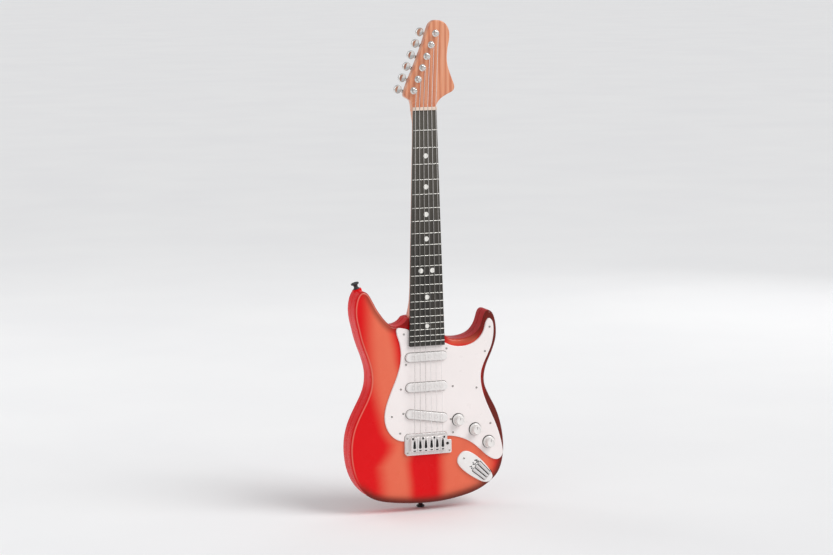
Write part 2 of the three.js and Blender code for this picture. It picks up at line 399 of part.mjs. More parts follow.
// ---------------------------------------------------------------- tuners
const pl = Math.hypot(...POST_STEP), tx = POST_STEP[0] / pl, tz = POST_STEP[1] / pl; // along the row
const sx = -tz, sz = tx;                                                         // towards the buttons
const at = (i, t, s) => [posts[i][0] + tx * t + sx * s, posts[i][1] + tz * t + sz * s];
const strip = (t0, t1, s0, s1, d0, d1, i = 0) => slab([at(i, t0, s0), at(i, t1, s0), at(i, t1, s1), at(i, t0, s1)], d0, d1);
const WORM_T = -5.3, SHAFT_D = 22.4;
let plate = strip(-9.2, 5 * pl + 6.5, -6.5, 9.6, 26.2, HEAD_D0 - GAP);
posts.forEach((_, i) => {
  plate = plate.add(strip(WORM_T - 2.6, WORM_T + 2.6, 7.2, 9.4, 19.6, 27, i)).add(strip(WORM_T - 2.6, WORM_T + 2.6, -6, -4.4, 19.6, 27, i));
});
posts.forEach(([x, z], i) => {
  plate = plate.subtract(pin(x, z, 10, 40, 3.0, 3.0, 8));
  const [wx, wz] = at(i, WORM_T, 2);
  plate = plate.subtract(aimed(new THREE.CylinderGeometry(1.75, 1.75, 30, 6), [wx, -SHAFT_D, wz], [sx, 0, sz]));
});
add('tuner_plate', plate, SILVER);
posts.forEach(([x, z], i) => {
  add('tuner_post_' + (i + 1), turned(x, z, [[0, 20.2], [3.1, 20.2], [3.1, 24.6], [2.6, 24.9], [2.6, 43], [2.2, 43.4], [2.2, 46],
    [2.7, 46.4], [2.7, 48.2], [0, 48.2]], 8), SILVER);
  const [wx, wz] = at(i, WORM_T, 0);
  const along = (r0, r1, s0, s1, n) => { const [ax, az] = at(i, WORM_T, (s0 + s1) / 2);
    return aimed(new THREE.CylinderGeometry(r1, r0, s1 - s0, n), [ax, -SHAFT_D, az], [sx, 0, sz]); };
  let b = along(1.4, 1.4, -6.6, 14, 6).add(along(1.8, 1.8, -3.8, 3.8, 8)).add(along(2.4, 2.0, 9.7, 11.6, 8));
  const [cx, cz] = at(i, WORM_T, 16.5);
  const oval = Array.from({ length: 12 }, (_, k) => { const a = 2 * Math.PI * k / 12; return [5.0 * Math.cos(a), 6.3 * Math.sin(a)]; });
  b = b.add(slabRound(turn(oval, Math.atan2(sz, sx) * 180 / Math.PI, cx, cz), SHAFT_D - 2.9, SHAFT_D + 2.9, 0.9, 1));
  add('tuner_button_' + (i + 1), b, SILVER);
});

// ---------------------------------------------------------------- screws
const cross = (x, z, d, r) => box(x - r, x + r, z - 0.45, z + 0.45, d - 1, d + 1).add(box(x - 0.45, x + 0.45, z - r, z + r, d - 1, d + 1));
const screw = (x, z, tip) => pin(x, z, 1.9, 4.0, 3.2, 3.2, 10).add(pin(x, z, 3, tip, 1.5, 1.5, 6)).subtract(cross(x, z, 1.9, 1.9));
NECK_SCREWS.forEach(([x, z], i) => add('neck_screw_' + (i + 1), screw(x, z, 28), STEEL));
SCREWS.forEach(([x, z], i) => add('case_screw_' + (i + 1), screw(x, z, 27), STEEL));

export default group;
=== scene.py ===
import bpy
import bmesh
import math
import numpy as np
from mathutils import Matrix, Vector, geometry


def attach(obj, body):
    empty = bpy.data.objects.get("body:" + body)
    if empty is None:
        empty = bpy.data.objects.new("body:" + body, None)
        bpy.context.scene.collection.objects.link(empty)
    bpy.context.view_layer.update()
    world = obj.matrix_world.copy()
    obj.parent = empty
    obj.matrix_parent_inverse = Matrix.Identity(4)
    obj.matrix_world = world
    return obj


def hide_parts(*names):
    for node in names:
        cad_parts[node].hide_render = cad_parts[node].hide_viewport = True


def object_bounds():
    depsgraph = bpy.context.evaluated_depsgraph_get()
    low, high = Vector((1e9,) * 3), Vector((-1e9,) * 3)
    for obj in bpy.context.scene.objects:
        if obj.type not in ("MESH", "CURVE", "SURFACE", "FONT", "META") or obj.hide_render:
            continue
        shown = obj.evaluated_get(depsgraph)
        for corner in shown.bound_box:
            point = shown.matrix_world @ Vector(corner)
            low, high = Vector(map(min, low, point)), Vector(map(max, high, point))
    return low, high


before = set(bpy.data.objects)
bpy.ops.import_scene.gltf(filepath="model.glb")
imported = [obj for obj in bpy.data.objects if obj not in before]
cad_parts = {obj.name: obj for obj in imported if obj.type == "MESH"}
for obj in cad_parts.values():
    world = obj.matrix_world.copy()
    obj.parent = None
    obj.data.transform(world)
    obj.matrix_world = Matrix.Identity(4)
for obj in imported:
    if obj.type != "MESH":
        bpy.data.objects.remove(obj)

CAD_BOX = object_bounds()
rng = np.random.default_rng(7)

# Everything below is in millimetres as (x, depth, z): depth runs from the back face of the body towards the
# front, so a point goes to Blender as (x, -depth, z) / 1000.

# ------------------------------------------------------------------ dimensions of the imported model
BODY_D, EDGE_R, SPLIT_D = 38.0, 4.5, 17.0
PG_D1 = 39.9
FB_D1, FB_Z0, NUT_Z, BOARD_Z1 = 44.2, 105.2, 430.0, 431.4
FB_HALF0, FB_HALF1, SCALE = 25.9, 16.8, 452.5
NUT_PITCH, SADDLE_PITCH = 5.95, 8.35
STRING_R = [0.55, 0.52, 0.49, 0.46, 0.43, 0.40]
KNOBS = [(46.4, -3.4), (71.5, -18.4), (91.8, -37.9)]
PICKUPS = [("pickup_neck", -0.6, 89.6, 61.5, 12.4, 0), ("pickup_middle", -0.4, 47.2, 61.5, 13.0, 0),
           ("pickup_bridge", -0.6, 5.8, 62.0, 12.8, -9)]
KEY_C, KEY_ANGLE, KEY_PITCH = (80.6, -78.6), math.radians(-43), 6.1
SPEAKER_C = (46.0, -58.0)
CASE_SCREWS = [(-90, 158), (92, 118), (-101, -40), (101, -48)]
NECK_SCREWS = [(-12, 113), (12, 113), (-12, 132), (12, 132)]
POSTS = [(-15.0 + 6.5 * i, 458.8 + 15.5 * i) for i in range(6)]
PL = math.hypot(6.5, 15.5)
TX, TZ = 6.5 / PL, 15.5 / PL          # along the row of tuners
SX, SZ = -TZ, TX                      # from the posts towards the buttons

BODY = [
    (-25.3, 143.1), (-30.2, 138), (-36.8, 134.5), (-44, 133.6), (-51.2, 136.4), (-58.2, 143.1), (-64.5, 151.2),
    (-69.8, 159), (-73.9, 166.6), (-77.6, 173.6), (-80.6, 178.8), (-84, 182.6), (-88.2, 184.6), (-92.2, 184.4),
    (-96, 181.4), (-99.3, 175.2), (-101.6, 166), (-102.3, 155.5), (-101.2, 144.6), (-98.4, 132.2), (-95, 118),
    (-90.4, 103.7), (-85.1, 89.3), (-81.3, 75.3), (-80, 61.5), (-81.7, 47.8), (-86.6, 34.4), (-93.7, 20.9),
    (-100.7, 7.4), (-106.5, -6.4), (-110, -20.4), (-111.5, -34.5), (-111, -48.8), (-108.8, -63.3), (-104.6, -77),
    (-99.4, -87.2), (-92.4, -96.6), (-83, -105), (-69.5, -111), (-54.4, -114.4), (-32.3, -117.2), (-10, -118.7),
    (8, -119), (25, -118), (42, -115.7), (58, -112.5), (72.6, -108.2), (85, -102.6), (96.4, -95), (106.6, -84.8),
    (112.8, -71.5), (115.7, -54.5), (115.7, -37), (111.8, -12.6), (104.9, 8), (94, 29.5), (88.2, 44), (87.4, 55.8),
    (90.6, 70.6), (100, 92), (105.2, 108.3), (106, 122), (104.3, 135), (101.6, 142.8), (98.6, 146.9), (95.4, 148.5),
    (92, 148), (89.2, 145.4), (87.2, 140.9), (85.4, 134.9), (83, 128.4), (79.2, 122.3), (73.6, 116.9), (65.6, 113),
    (54.6, 110.9), (44.2, 111.1), (36.6, 112.8), (30.4, 116.4), (26, 121.4), (24.6, 127.5), (23.9, 133.5),
    (21.6, 139.5), (17, 143.2), (10, 144.8), (-10, 144.8), (-18, 144.6)]
GUARD = [
    (28, 107.3), (37.1, 103.1), (47.7, 101), (58.3, 101.3), (67.9, 103.9), (75.7, 108.5), (81.7, 114.6), (85.7, 122),
    (88.9, 132.7), (91.2, 136.7), (92.5, 137.7), (93.5, 138), (94.8, 137.7), (96.7, 136.2), (98.8, 132.7),
    (100, 126.7), (99.6, 113.4), (96.9, 100.8), (91.4, 87.8), (84, 72.5), (81, 62.1), (80.6, 50.8), (82.8, 37.4),
    (87.6, 22.4), (95.3, 4.6), (103.1, -13.4), (108.6, -29.6), (112.4, -46.5), (113, -54.6), (111.8, -58.6),
    (109.6, -61.4), (106.5, -63.3), (103.2, -63.8), (98.4, -62.7), (90.4, -58), (78.8, -47.5), (67.7, -37.9),
    (56.5, -31.4), (43.9, -26.9), (30.8, -24.7), (0, -24.5), (-33, -28.1), (-40.3, -26.9), (-47, -23.5),
    (-53.2, -17.9), (-58.3, -9.9), (-61.3, -0.6), (-62, 9.7), (-59.7, 22.5), (-53.2, 40.5), (-43.6, 63.3),
    (-38.6, 80), (-37.2, 94), (-38.6, 108.4), (-43.1, 124.4), (-42.9, 130.3), (-39.9, 131.8), (-35.9, 131.3),
    (-26.4, 128.8), (-24, 127), (24, 108)]
PANEL = [
    (44.6, -62), (45.3, -57.5), (48.3, -52.7), (52.5, -49.5), (56.7, -48.4), (62, -49.4), (69.8, -53.8),
    (79.6, -61.8), (87.9, -70.9), (94.9, -80.9), (97.1, -86.3), (96.9, -89.4), (95.1, -92.4), (91.6, -94.7),
    (87.3, -95.4), (81.2, -93.9), (70.5, -88.2), (59.6, -80.8), (50.5, -72.7), (45.9, -66.5)]
HEAD = [
    (-16.7, 434), (-17.9, 442.2), (-19.3, 445.1), (-21.7, 447.1), (-26, 449.7), (-27.3, 451), (-27.8, 452.6),
    (-27.2, 456.9), (-22.5, 470.1), (-15.2, 486.3), (-8, 503.2), (-0.8, 521), (4.9, 537.9), (9.1, 548.4),
    (12, 551.5), (15.7, 553.7), (22.1, 554.1), (28, 552.5), (32.4, 549.4), (36, 544.3), (38.1, 537.5), (38, 528.9),
    (35.3, 514.5), (34.3, 501.8), (35.6, 490.9), (39.9, 478), (44.5, 465.4), (44.8, 461.1), (43.9, 458.6),
    (41.4, 456.2), (31.9, 451.5), (25, 447), (19.6, 440.7), (16.7, 434)]
BRIDGE = [(-33.4, -45.6), (-33.4, -21.4), (-30.4, -18.4), (26.4, -18.4), (29.4, -21.4), (29.4, -29.6),
          (34.6, -29.6), (35.7, -30.7), (35.7, -47.2), (34.2, -48.8), (-30.4, -48.8)]


# ------------------------------------------------------------------ outlines
def spline(pts, per=8, closed=True, corners=()):
    """Smooth centripetal curve through the points; listed points stay sharp."""
    p = np.array(pts, float)
    n = len(p)
    out = []
    for i in range(n if closed else n - 1):
        b, c = p[i], p[(i + 1) % n]
        a = p[(i - 1) % n] if (closed or i > 0) and i not in corners else 2 * b - c
        j = (i + 1) % n
        d = p[(i + 2) % n] if (closed or i + 2 < n) and j not in corners else 2 * c - b
        t0 = 0.0
        t1 = t0 + max(np.linalg.norm(b - a), 1e-6) ** 0.5
        t2 = t1 + max(np.linalg.norm(c - b), 1e-6) ** 0.5
        t3 = t2 + max(np.linalg.norm(d - c), 1e-6) ** 0.5
        for k in range(per):
            t = t1 + (t2 - t1) * k / per
            a1 = (t1 - t) / (t1 - t0) * a + (t - t0) / (t1 - t0) * b
            a2 = (t2 - t) / (t2 - t1) * b + (t - t1) / (t2 - t1) * c
            a3 = (t3 - t) / (t3 - t2) * c + (t - t2) / (t3 - t2) * d
            b1 = (t2 - t) / (t2 - t0) * a1 + (t - t0) / (t2 - t0) * a2
            b2 = (t3 - t) / (t3 - t1) * a2 + (t - t1) / (t3 - t1) * a3
            out.append((t2 - t) / (t2 - t1) * b1 + (t - t1) / (t2 - t1) * b2)
    if not closed:
        out.append(p[-1])
    return np.array(out)


def resample(loop, step):
    p = np.vstack([loop, loop[:1]])
    s = np.r_[0, np.cumsum(np.linalg.norm(np.diff(p, axis=0), axis=1))]
    n = int(round(s[-1] / step))
    q = np.linspace(0, s[-1], n, endpoint=False)
    return np.c_[np.interp(q, s, p[:, 0]), np.interp(q, s, p[:, 1])]


def ccw(loop):
    loop = np.array(loop, float)
    x, z = loop[:, 0], loop[:, 1]
    return loop if np.sum(x * np.roll(z, -1) - np.roll(x, -1) * z) > 0 else loop[::-1]


def offset(loop, d):
    """Counter-clockwise loop moved inwards by d."""
    e = np.roll(loop, -1, 0) - loop
    e /= np.maximum(np.linalg.norm(e, axis=1), 1e-9)[:, None]
    nrm = np.c_[-e[:, 1], e[:, 0]]
    m = nrm + np.roll(nrm, 1, 0)
    k = 2.0 / np.maximum((m * m).sum(1), 0.6)
    return loop + m * (k * d)[:, None]


def rounded(pts, r, seg=5):
    """Polygon with its corners rounded by r."""
    p = ccw(pts)
    n = len(p)
    rs = r if hasattr(r, "__len__") else [r] * n
    out = []
    for i in range(n):
        a, b, c = p[i - 1], p[i], p[(i + 1) % n]
        u, v = (a - b), (c - b)
        lu, lv = np.linalg.norm(u), np.linalg.norm(v)
        u, v = u / lu, v / lv
        ang = math.acos(max(-1, min(1, float(u @ v))))
        if rs[i] <= 0 or ang > math.radians(176):
            out.append(b)
            continue
        t = min(rs[i] / math.tan(ang / 2), 0.45 * min(lu, lv))
        rr = t * math.tan(ang / 2)
        s, e = b + u * t, b + v * t
        w = (u + v) / np.linalg.norm(u + v)
        o = b + w * math.hypot(rr, t)
        a0 = math.atan2(*(s - o)[::-1])
        a1 = math.atan2(*(e - o)[::-1])
        da = (a1 - a0 + math.pi) % (2 * math.pi) - math.pi
        for k in range(seg + 1):
            q = a0 + da * k / seg
            out.append(o + rr * np.array([math.cos(q), math.sin(q)]))
    return np.array(out)


def stadium(length, width, n=14):
    r, h = width / 2, length / 2 - width / 2
    a = np.linspace(-math.pi / 2, math.pi / 2, n + 1)
    right = np.c_[h + r * np.cos(a), r * np.sin(a)]
    return np.vstack([right, -right])


def circle(r, n=32, x=0.0, z=0.0):
    a = np.linspace(0, 2 * math.pi, n, endpoint=False)
    return np.c_[x + r * np.cos(a), z + r * np.sin(a)]


def rect(w, h):
    return np.array([(-w / 2, -h / 2), (w / 2, -h / 2), (w / 2, h / 2), (-w / 2, h / 2)], float)


def turn(loop, angle, x=0.0, z=0.0):
    c, s = math.cos(angle), math.sin(angle)
    return np.asarray(loop) @ np.array([[c, s], [-s, c]]) + (x, z)


def fillet(d0, d1, r0, r1, n=6, clip=None):
    """Profile (inset, depth) of a plate from depth d0 to d1 with rims rounded by r0 and r1."""
    out = []
    if r0 > 0:
        out += [(r0 * (1 - math.sin(a)), d0 + r0 * (1 - math.cos(a))) for a in np.linspace(0, math.pi / 2, n + 1)]
        out = [(r0 + 0.25, d0)] + out
    else:
        out.append((0.0, d0))
    if r1 > 0:
        out += [(r1 * (1 - math.cos(a)), d1 - r1 * (1 - math.sin(a))) for a in np.linspace(0, math.pi / 2, n + 1)]
        out.append((r1 + 0.25, d1))
    else:
        out.append((0.0, d1))
    return out


# ------------------------------------------------------------------ mesh building
class Build:
    def __init__(self):
        self.v, self.f, self.m = [], [], []

    def _add(self, verts, faces, mi=0):
        k = len(self.v)
        self.v += [tuple(map(float, p)) for p in verts]
        self.f += [tuple(i + k for i in f) for f in faces]
        self.m += [mi] * len(faces)
        return self

    def skin(self, rings, mi=0, ends=True, around=False):
        """Skin over rings (each n points in x, depth, z); ends closes both ends with a face."""
        n, rows = len(rings[0]), len(rings)
        verts = np.vstack(rings)
        faces = []
        for r in range(rows if around else rows - 1):
            s = (r + 1) % rows
            for j in range(n):
                k = (j + 1) % n
                faces.append((r * n + j, r * n + k, s * n + k, s * n + j))
        if ends and not around:
            faces.append(tuple(range(n))[::-1])
            faces.append(tuple(range((rows - 1) * n, rows * n)))
        return self._add(verts, faces, mi)

    def prism(self, loop, profile, mi=0):
        """Plate along the depth with the outline loop (x, z) and a profile of (inset, depth)."""
        loop = ccw(loop)
        rings = []
        for inset, d in profile:
            q = offset(loop, inset) if inset else loop
            rings.append(np.c_[q[:, 0], np.full(len(q), d), q[:, 1]])
        return self.skin(rings, mi)

    def lathe(self, profile, at=(0, 0, 0), axis=(0, 1, 0), n=48, mi=0, wobble=None):
        """Turned piece; profile is (radius, height along axis) and both ends sit on the axis."""
        ax = np.array(axis, float) / np.linalg.norm(axis)
        h = np.array([1.0, 0, 0]) if abs(ax[0]) < 0.9 else np.array([0, 0, 1.0])
        u = np.cross(ax, h)
        u /= np.linalg.norm(u)
        w = np.cross(ax, u)
        at = np.array(at, float)
        verts, faces, rows = [], [], []
        ang = np.linspace(0, 2 * math.pi, n, endpoint=False)
        for ri, (r, t) in enumerate(profile):
            if r < 1e-6:
                rows.append([len(verts)])
                verts.append(at + ax * t)
            else:
                rows.append(list(range(len(verts), len(verts) + n)))
                for a in ang:
                    rr = r * (1 + (wobble(ri, a) if wobble else 0))
                    verts.append(at + ax * t + rr * (math.cos(a) * u + math.sin(a) * w))
        for a, b in zip(rows, rows[1:]):
            for j in range(n):
                k = (j + 1) % n
                if len(a) == 1 and len(b) == 1:
                    break
                if len(a) == 1:
                    faces.append((a[0], b[k], b[j]))
                elif len(b) == 1:
                    faces.append((a[j], a[k], b[0]))
                else:
                    faces.append((a[j], a[k], b[k], b[j]))
        return self._add(verts, faces, mi)

    def tube(self, path, r, n=10, mi=0, ends=True):
        path = np.array(path, float)
        rad = r if hasattr(r, "__len__") else [r] * len(path)
        side = np.array([1.0, 0.3, 0.1])
        rings = []
        for i, p in enumerate(path):
            t = path[min(i + 1, len(path) - 1)] - path[max(i - 1, 0)]
            t /= np.linalg.norm(t)
            side = side - t * (side @ t)
            side /= np.linalg.norm(side)
            up = np.cross(t, side)
            a = np.linspace(0, 2 * math.pi, n, endpoint=False)
            rings.append(p + rad[i] * (np.cos(a)[:, None] * side + np.sin(a)[:, None] * up))
        return self.skin(rings, mi, ends)

    def box(self, x0, x1, z0, z1, d0, d1, mi=0):
        v = [(x, d, z) for x in (x0, x1) for d in (d0, d1) for z in (z0, z1)]
        return self._add(v, [(0, 1, 3, 2), (4, 6, 7, 5), (0, 4, 5, 1), (2, 3, 7, 6), (0, 2, 6, 4), (1, 5, 7, 3)], mi)

    def mesh(self, name):
        me = bpy.data.meshes.new(name)
        v = [(x / 1000, -d / 1000, z / 1000) for x, d, z in self.v]
        me.from_pydata(v, [], self.f)
        me.polygons.foreach_set("material_index", self.m)
        bm = bmesh.new()
        bm.from_mesh(me)
        bmesh.ops.recalc_face_normals(bm, faces=bm.faces)
        bm.to_mesh(me)
        bm.free()
        return me

    def obj(self, name):
        o = bpy.data.objects.new(name, self.mesh(name))
        bpy.context.scene.collection.objects.link(o)
        return o


def boolean(o, cutter, op="DIFFERENCE"):
    """Exact boolean of object o with a Build; the result replaces o's mesh."""
    c = cutter.obj("cutter")
    m = o.modifiers.new("b", "BOOLEAN")
    m.operation, m.solver, m.object = op, "EXACT", c
    dg = bpy.context.evaluated_depsgraph_get()
    dg.update()
    me = bpy.data.meshes.new_from_object(o.evaluated_get(dg), depsgraph=dg)
    o.modifiers.clear()
    if len(me.polygons) < 6:
        raise RuntimeError("boolean emptied " + o.name)
    old = o.data
    o.data = me
    bpy.data.meshes.remove(old)
    cm = c.data
    bpy.data.objects.remove(c)
    bpy.data.meshes.remove(cm)
    return o


def place(o, mats, body="body", replaces=(), angle=32, bevel=0.0, seg=2):
    """Shading, materials, body and the CAD nodes a finished piece stands for."""
    me = o.data
    bm = bmesh.new()
    bm.from_mesh(me)
    bmesh.ops.remove_doubles(bm, verts=bm.verts, dist=2e-6)
    bmesh.ops.dissolve_degenerate(bm, edges=bm.edges, dist=1e-6)
    loose = [v for v in bm.verts if not v.link_faces]
    bmesh.ops.delete(bm, geom=loose, context="VERTS")
    bm.to_mesh(me)
    bm.free()
    me.materials.clear()
    for m in mats if isinstance(mats, (list, tuple)) else [mats]:
        me.materials.append(m)
    if bevel:
        b = o.modifiers.new("bevel", "BEVEL")
        b.width, b.segments, b.limit_method, b.angle_limit = bevel / 1000, seg, "ANGLE", math.radians(32)
        b.harden_normals = False
        b.use_clamp_overlap = True
        dg = bpy.context.evaluated_depsgraph_get()
        dg.update()
        new = bpy.data.meshes.new_from_object(o.evaluated_get(dg), depsgraph=dg)
        o.modifiers.clear()
        o.data = new
        me = new
    me.polygons.foreach_set("use_smooth", [True] * len(me.polygons))
    me.set_sharp_from_angle(angle=math.radians(angle))
    me.update()
    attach(o, body)
    if replaces:
        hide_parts(*replaces)
    me.name = o.name
    return o


def inside(pts, loop):
    x, z = pts[:, 0][:, None], pts[:, 1][:, None]
    a, b = loop, np.roll(loop, -1, 0)
    cond = (a[:, 1] > z) != (b[:, 1] > z)
    with np.errstate(divide="ignore", invalid="ignore"):
        xi = (b[:, 0] - a[:, 0]) * (z - a[:, 1]) / (b[:, 1] - a[:, 1]) + a[:, 0]
    return (np.sum(cond & (x < xi), axis=1) % 2) == 1


def edge_distance(pts, loop):
    a, b = loop, np.roll(loop, -1, 0)
    best = np.full(len(pts), 1e9)
    for p, q in zip(a, b):
        e = q - p
        t = np.clip(((pts - p) @ e) / (e @ e), 0, 1)
        best = np.minimum(best, np.linalg.norm(pts - p - t[:, None] * e, axis=1))
    return best


def crowned(b, loop, profile, height, step, mi=0):
    """Like Build.prism, but the last face is a fine grid whose depth is height(distance from the rim)."""
    loop = ccw(loop)
    rings = []
    for inset, d in profile:
        q = offset(loop, inset) if inset else loop
        rings.append(np.c_[q[:, 0], np.full(len(q), d), q[:, 1]])
    last = rings[-1]
    n = len(last)
    rim = last[:, [0, 2]]
    lo, hi = rim.min(0), rim.max(0)
    gx, gz = np.meshgrid(np.arange(lo[0], hi[0], step), np.arange(lo[1], hi[1], step * 0.866))
    gx[1::2] += step / 2
    g = np.c_[gx.ravel(), gz.ravel()]
    g = g[inside(g, rim)]
    dist = edge_distance(g, rim)
    g, dist = g[dist > step * 0.55], dist[dist > step * 0.55]
    co = [Vector(p) for p in np.vstack([rim, g])]
    res = geometry.delaunay_2d_cdt(co, [], [list(range(n))], 1, 1e-5)
    verts = np.array([tuple(p) for p in res[0]])
    dd = np.r_[np.zeros(0)]
    allp = np.array([tuple(p) for p in res[0]])
    dist_all = edge_distance(allp, rim)
    depth = height(dist_all)
    k0 = len(b.v)
    b.skin(rings, mi, ends=False)
    b.f.append(tuple(range(k0, k0 + n))[::-1])
    b.m.append(mi)
    # the rim vertices of the grid are the last ring's own
    base = k0 + (len(rings) - 1) * n
    remap, k = {}, len(b.v)
    for i, orig in enumerate(res[3]):
        hit = [j for j in orig if j < n]
        if hit:
            remap[i] = base + hit[0]
        else:
            remap[i] = k
            b.v.append((float(allp[i][0]), float(depth[i]), float(allp[i][1])))
            k += 1
    for f in res[2]:
        b.f.append(tuple(remap[i] for i in f))
        b.m.append(mi)
    return b

# ------------------------------------------------------------------ materials
def new_mat(name):
    m = bpy.data.materials.new(name)
    m.use_nodes = True
    nt = m.node_tree
    nt.nodes.clear()
    out = nt.nodes.new("ShaderNodeOutputMaterial")
    bs = nt.nodes.new("ShaderNodeBsdfPrincipled")
    nt.links.new(bs.outputs["BSDF"], out.inputs["Surface"])
    tc = nt.nodes.new("ShaderNodeTexCoord")
    return m, nt, bs, tc


def N(nt, kind, **kw):
    n = nt.nodes.new(kind)
    for k, v in kw.items():
        if k.startswith("i_"):
            n.inputs[k[2:]].default_value = v
        elif k.startswith("n") and k[1:].isdigit():
            n.inputs[int(k[1:])].default_value = v
        else:
            setattr(n, k, v)
    return n


def mapping(nt, tc, scale=(1, 1, 1), rot=(0, 0, 0), loc=(0, 0, 0)):
    m = N(nt, "ShaderNodeMapping")
    m.inputs["Scale"].default_value = scale
    m.inputs["Rotation"].default_value = rot
    m.inputs["Location"].default_value = loc
    nt.links.new(tc.outputs["Object"], m.inputs["Vector"])
    return m.outputs["Vector"]


def noise(nt, vec, scale, detail=3.0, rough=0.5, dist=0.0):
    n = N(nt, "ShaderNodeTexNoise", i_Scale=scale, i_Detail=detail, i_Roughness=rough, i_Distortion=dist)
    nt.links.new(vec, n.inputs["Vector"])
    return n.outputs["Fac"]


def ramp(nt, fac, stops, interp="LINEAR"):
    r = N(nt, "ShaderNodeValToRGB")
    e = r.color_ramp
    e.interpolation = interp
    while len(e.elements) < len(stops):
        e.elements.new(0.5)
    for el, (p, c) in zip(e.elements, stops):
        el.position = p
        el.color = (*c, 1.0) if len(c) == 3 else c
    nt.links.new(fac, r.inputs["Fac"])
    return r.outputs["Color"]


def remap(nt, fac, a, b, c, d):
    r = N(nt, "ShaderNodeMapRange")
    for i, v in enumerate((a, b, c, d)):
        r.inputs[i + 1].default_value = v
    nt.links.new(fac, r.inputs[0])
    return r.outputs[0]


def math_node(nt, op, a, b=None, clamp=False):
    m = N(nt, "ShaderNodeMath", operation=op, use_clamp=clamp)
    for i, v in enumerate((a, b)):
        if v is None:
            continue
        if isinstance(v, (int, float)):
            m.inputs[i].default_value = v
        else:
            nt.links.new(v, m.inputs[i])
    return m.outputs[0]


def mixc(nt, fac, a, b, mode="MIX"):
    m = N(nt, "ShaderNodeMix", data_type="RGBA", blend_type=mode)
    for sock, v in ((m.inputs[0], fac), (m.inputs[6], a), (m.inputs[7], b)):
        if isinstance(v, (int, float)):
            sock.default_value = v
        elif isinstance(v, tuple):
            sock.default_value = (*v, 1.0) if len(v) == 3 else v
        else:
            nt.links.new(v, sock)
    return m.outputs[2]


def bump(nt, bs, height, strength, dist=0.0002, prev=None, coat=False):
    b = N(nt, "ShaderNodeBump", i_Strength=strength, i_Distance=dist)
    nt.links.new(height, b.inputs["Height"])
    if prev is not None:
        nt.links.new(prev, b.inputs["Normal"])
    nt.links.new(b.outputs["Normal"], bs.inputs["Normal"])
    if coat:
        nt.links.new(b.outputs["Normal"], bs.inputs["Coat Normal"])
    return b.outputs["Normal"]


def srgb(r, g, b):
    return tuple(((c / 255) / 12.92 if c / 255 <= 0.04045 else ((c / 255 + 0.055) / 1.055) ** 2.4) for c in (r, g, b))


def lerp3(a, b, t):
    return tuple(x + (y - x) * t for x, y in zip(a, b))


def plastic(name, col, rough=0.35, spread=0.05, grain=900, depth=0.06, coat=0.0, coat_rough=0.1, ior=1.46, dirt=0.03):
    """Moulded plastic: faint mottling, fine surface grain and slightly uneven gloss."""
    m, nt, bs, tc = new_mat(name)
    base = srgb(*col)
    v = mapping(nt, tc)
    big = noise(nt, v, 22.0, 4.0, 0.55)
    c = ramp(nt, big, [(0.25, lerp3(base, (0, 0, 0), spread)), (0.75, lerp3(base, (1, 1, 1), spread * 0.35))])
    fine = noise(nt, v, 420.0, 2.0, 0.5)
    spec = remap(nt, fine, 0.62, 0.75, 0.0, dirt)
    c = mixc(nt, spec, c, tuple(x * 0.55 for x in base))
    nt.links.new(c, bs.inputs["Base Color"])
    r = remap(nt, noise(nt, v, 55.0, 5.0, 0.6), 0.3, 0.7, rough - 0.045, rough + 0.06)
    nt.links.new(r, bs.inputs["Roughness"])
    bump(nt, bs, noise(nt, v, float(grain), 2.0, 0.5), depth, 0.0001)
    bs.inputs["Coat Weight"].default_value = coat
    bs.inputs["Coat Roughness"].default_value = coat_rough
    bs.inputs["IOR"].default_value = ior
    return m


def metal(name, col, rough=0.22, streak=(1, 1, 30), amount=0.12, metallic=1.0, depth=0.05, tarnish=0.08, shade=None):
    """Plated metal: drawn-out polishing marks, faint tarnish, uneven gloss."""
    m, nt, bs, tc = new_mat(name)
    base = srgb(*col)
    v = mapping(nt, tc, scale=streak)
    st = noise(nt, v, 130.0, 4.0, 0.65)
    v2 = mapping(nt, tc)
    cloud = noise(nt, v2, 60.0, 4.0, 0.6)
    c = ramp(nt, st, [(0.3, lerp3(base, (0, 0, 0), amount)), (0.7, base)])
    c = mixc(nt, remap(nt, cloud, 0.5, 0.8, 0.0, tarnish), c, tuple(x * 0.5 for x in base))
    if shade:
        c = shade(nt, tc, c)
    nt.links.new(c, bs.inputs["Base Color"])
    r = remap(nt, st, 0.25, 0.75, rough + 0.07, rough - 0.05)
    nt.links.new(r, bs.inputs["Roughness"])
    bs.inputs["Metallic"].default_value = metallic
    bump(nt, bs, st, depth, 0.00008)
    return m


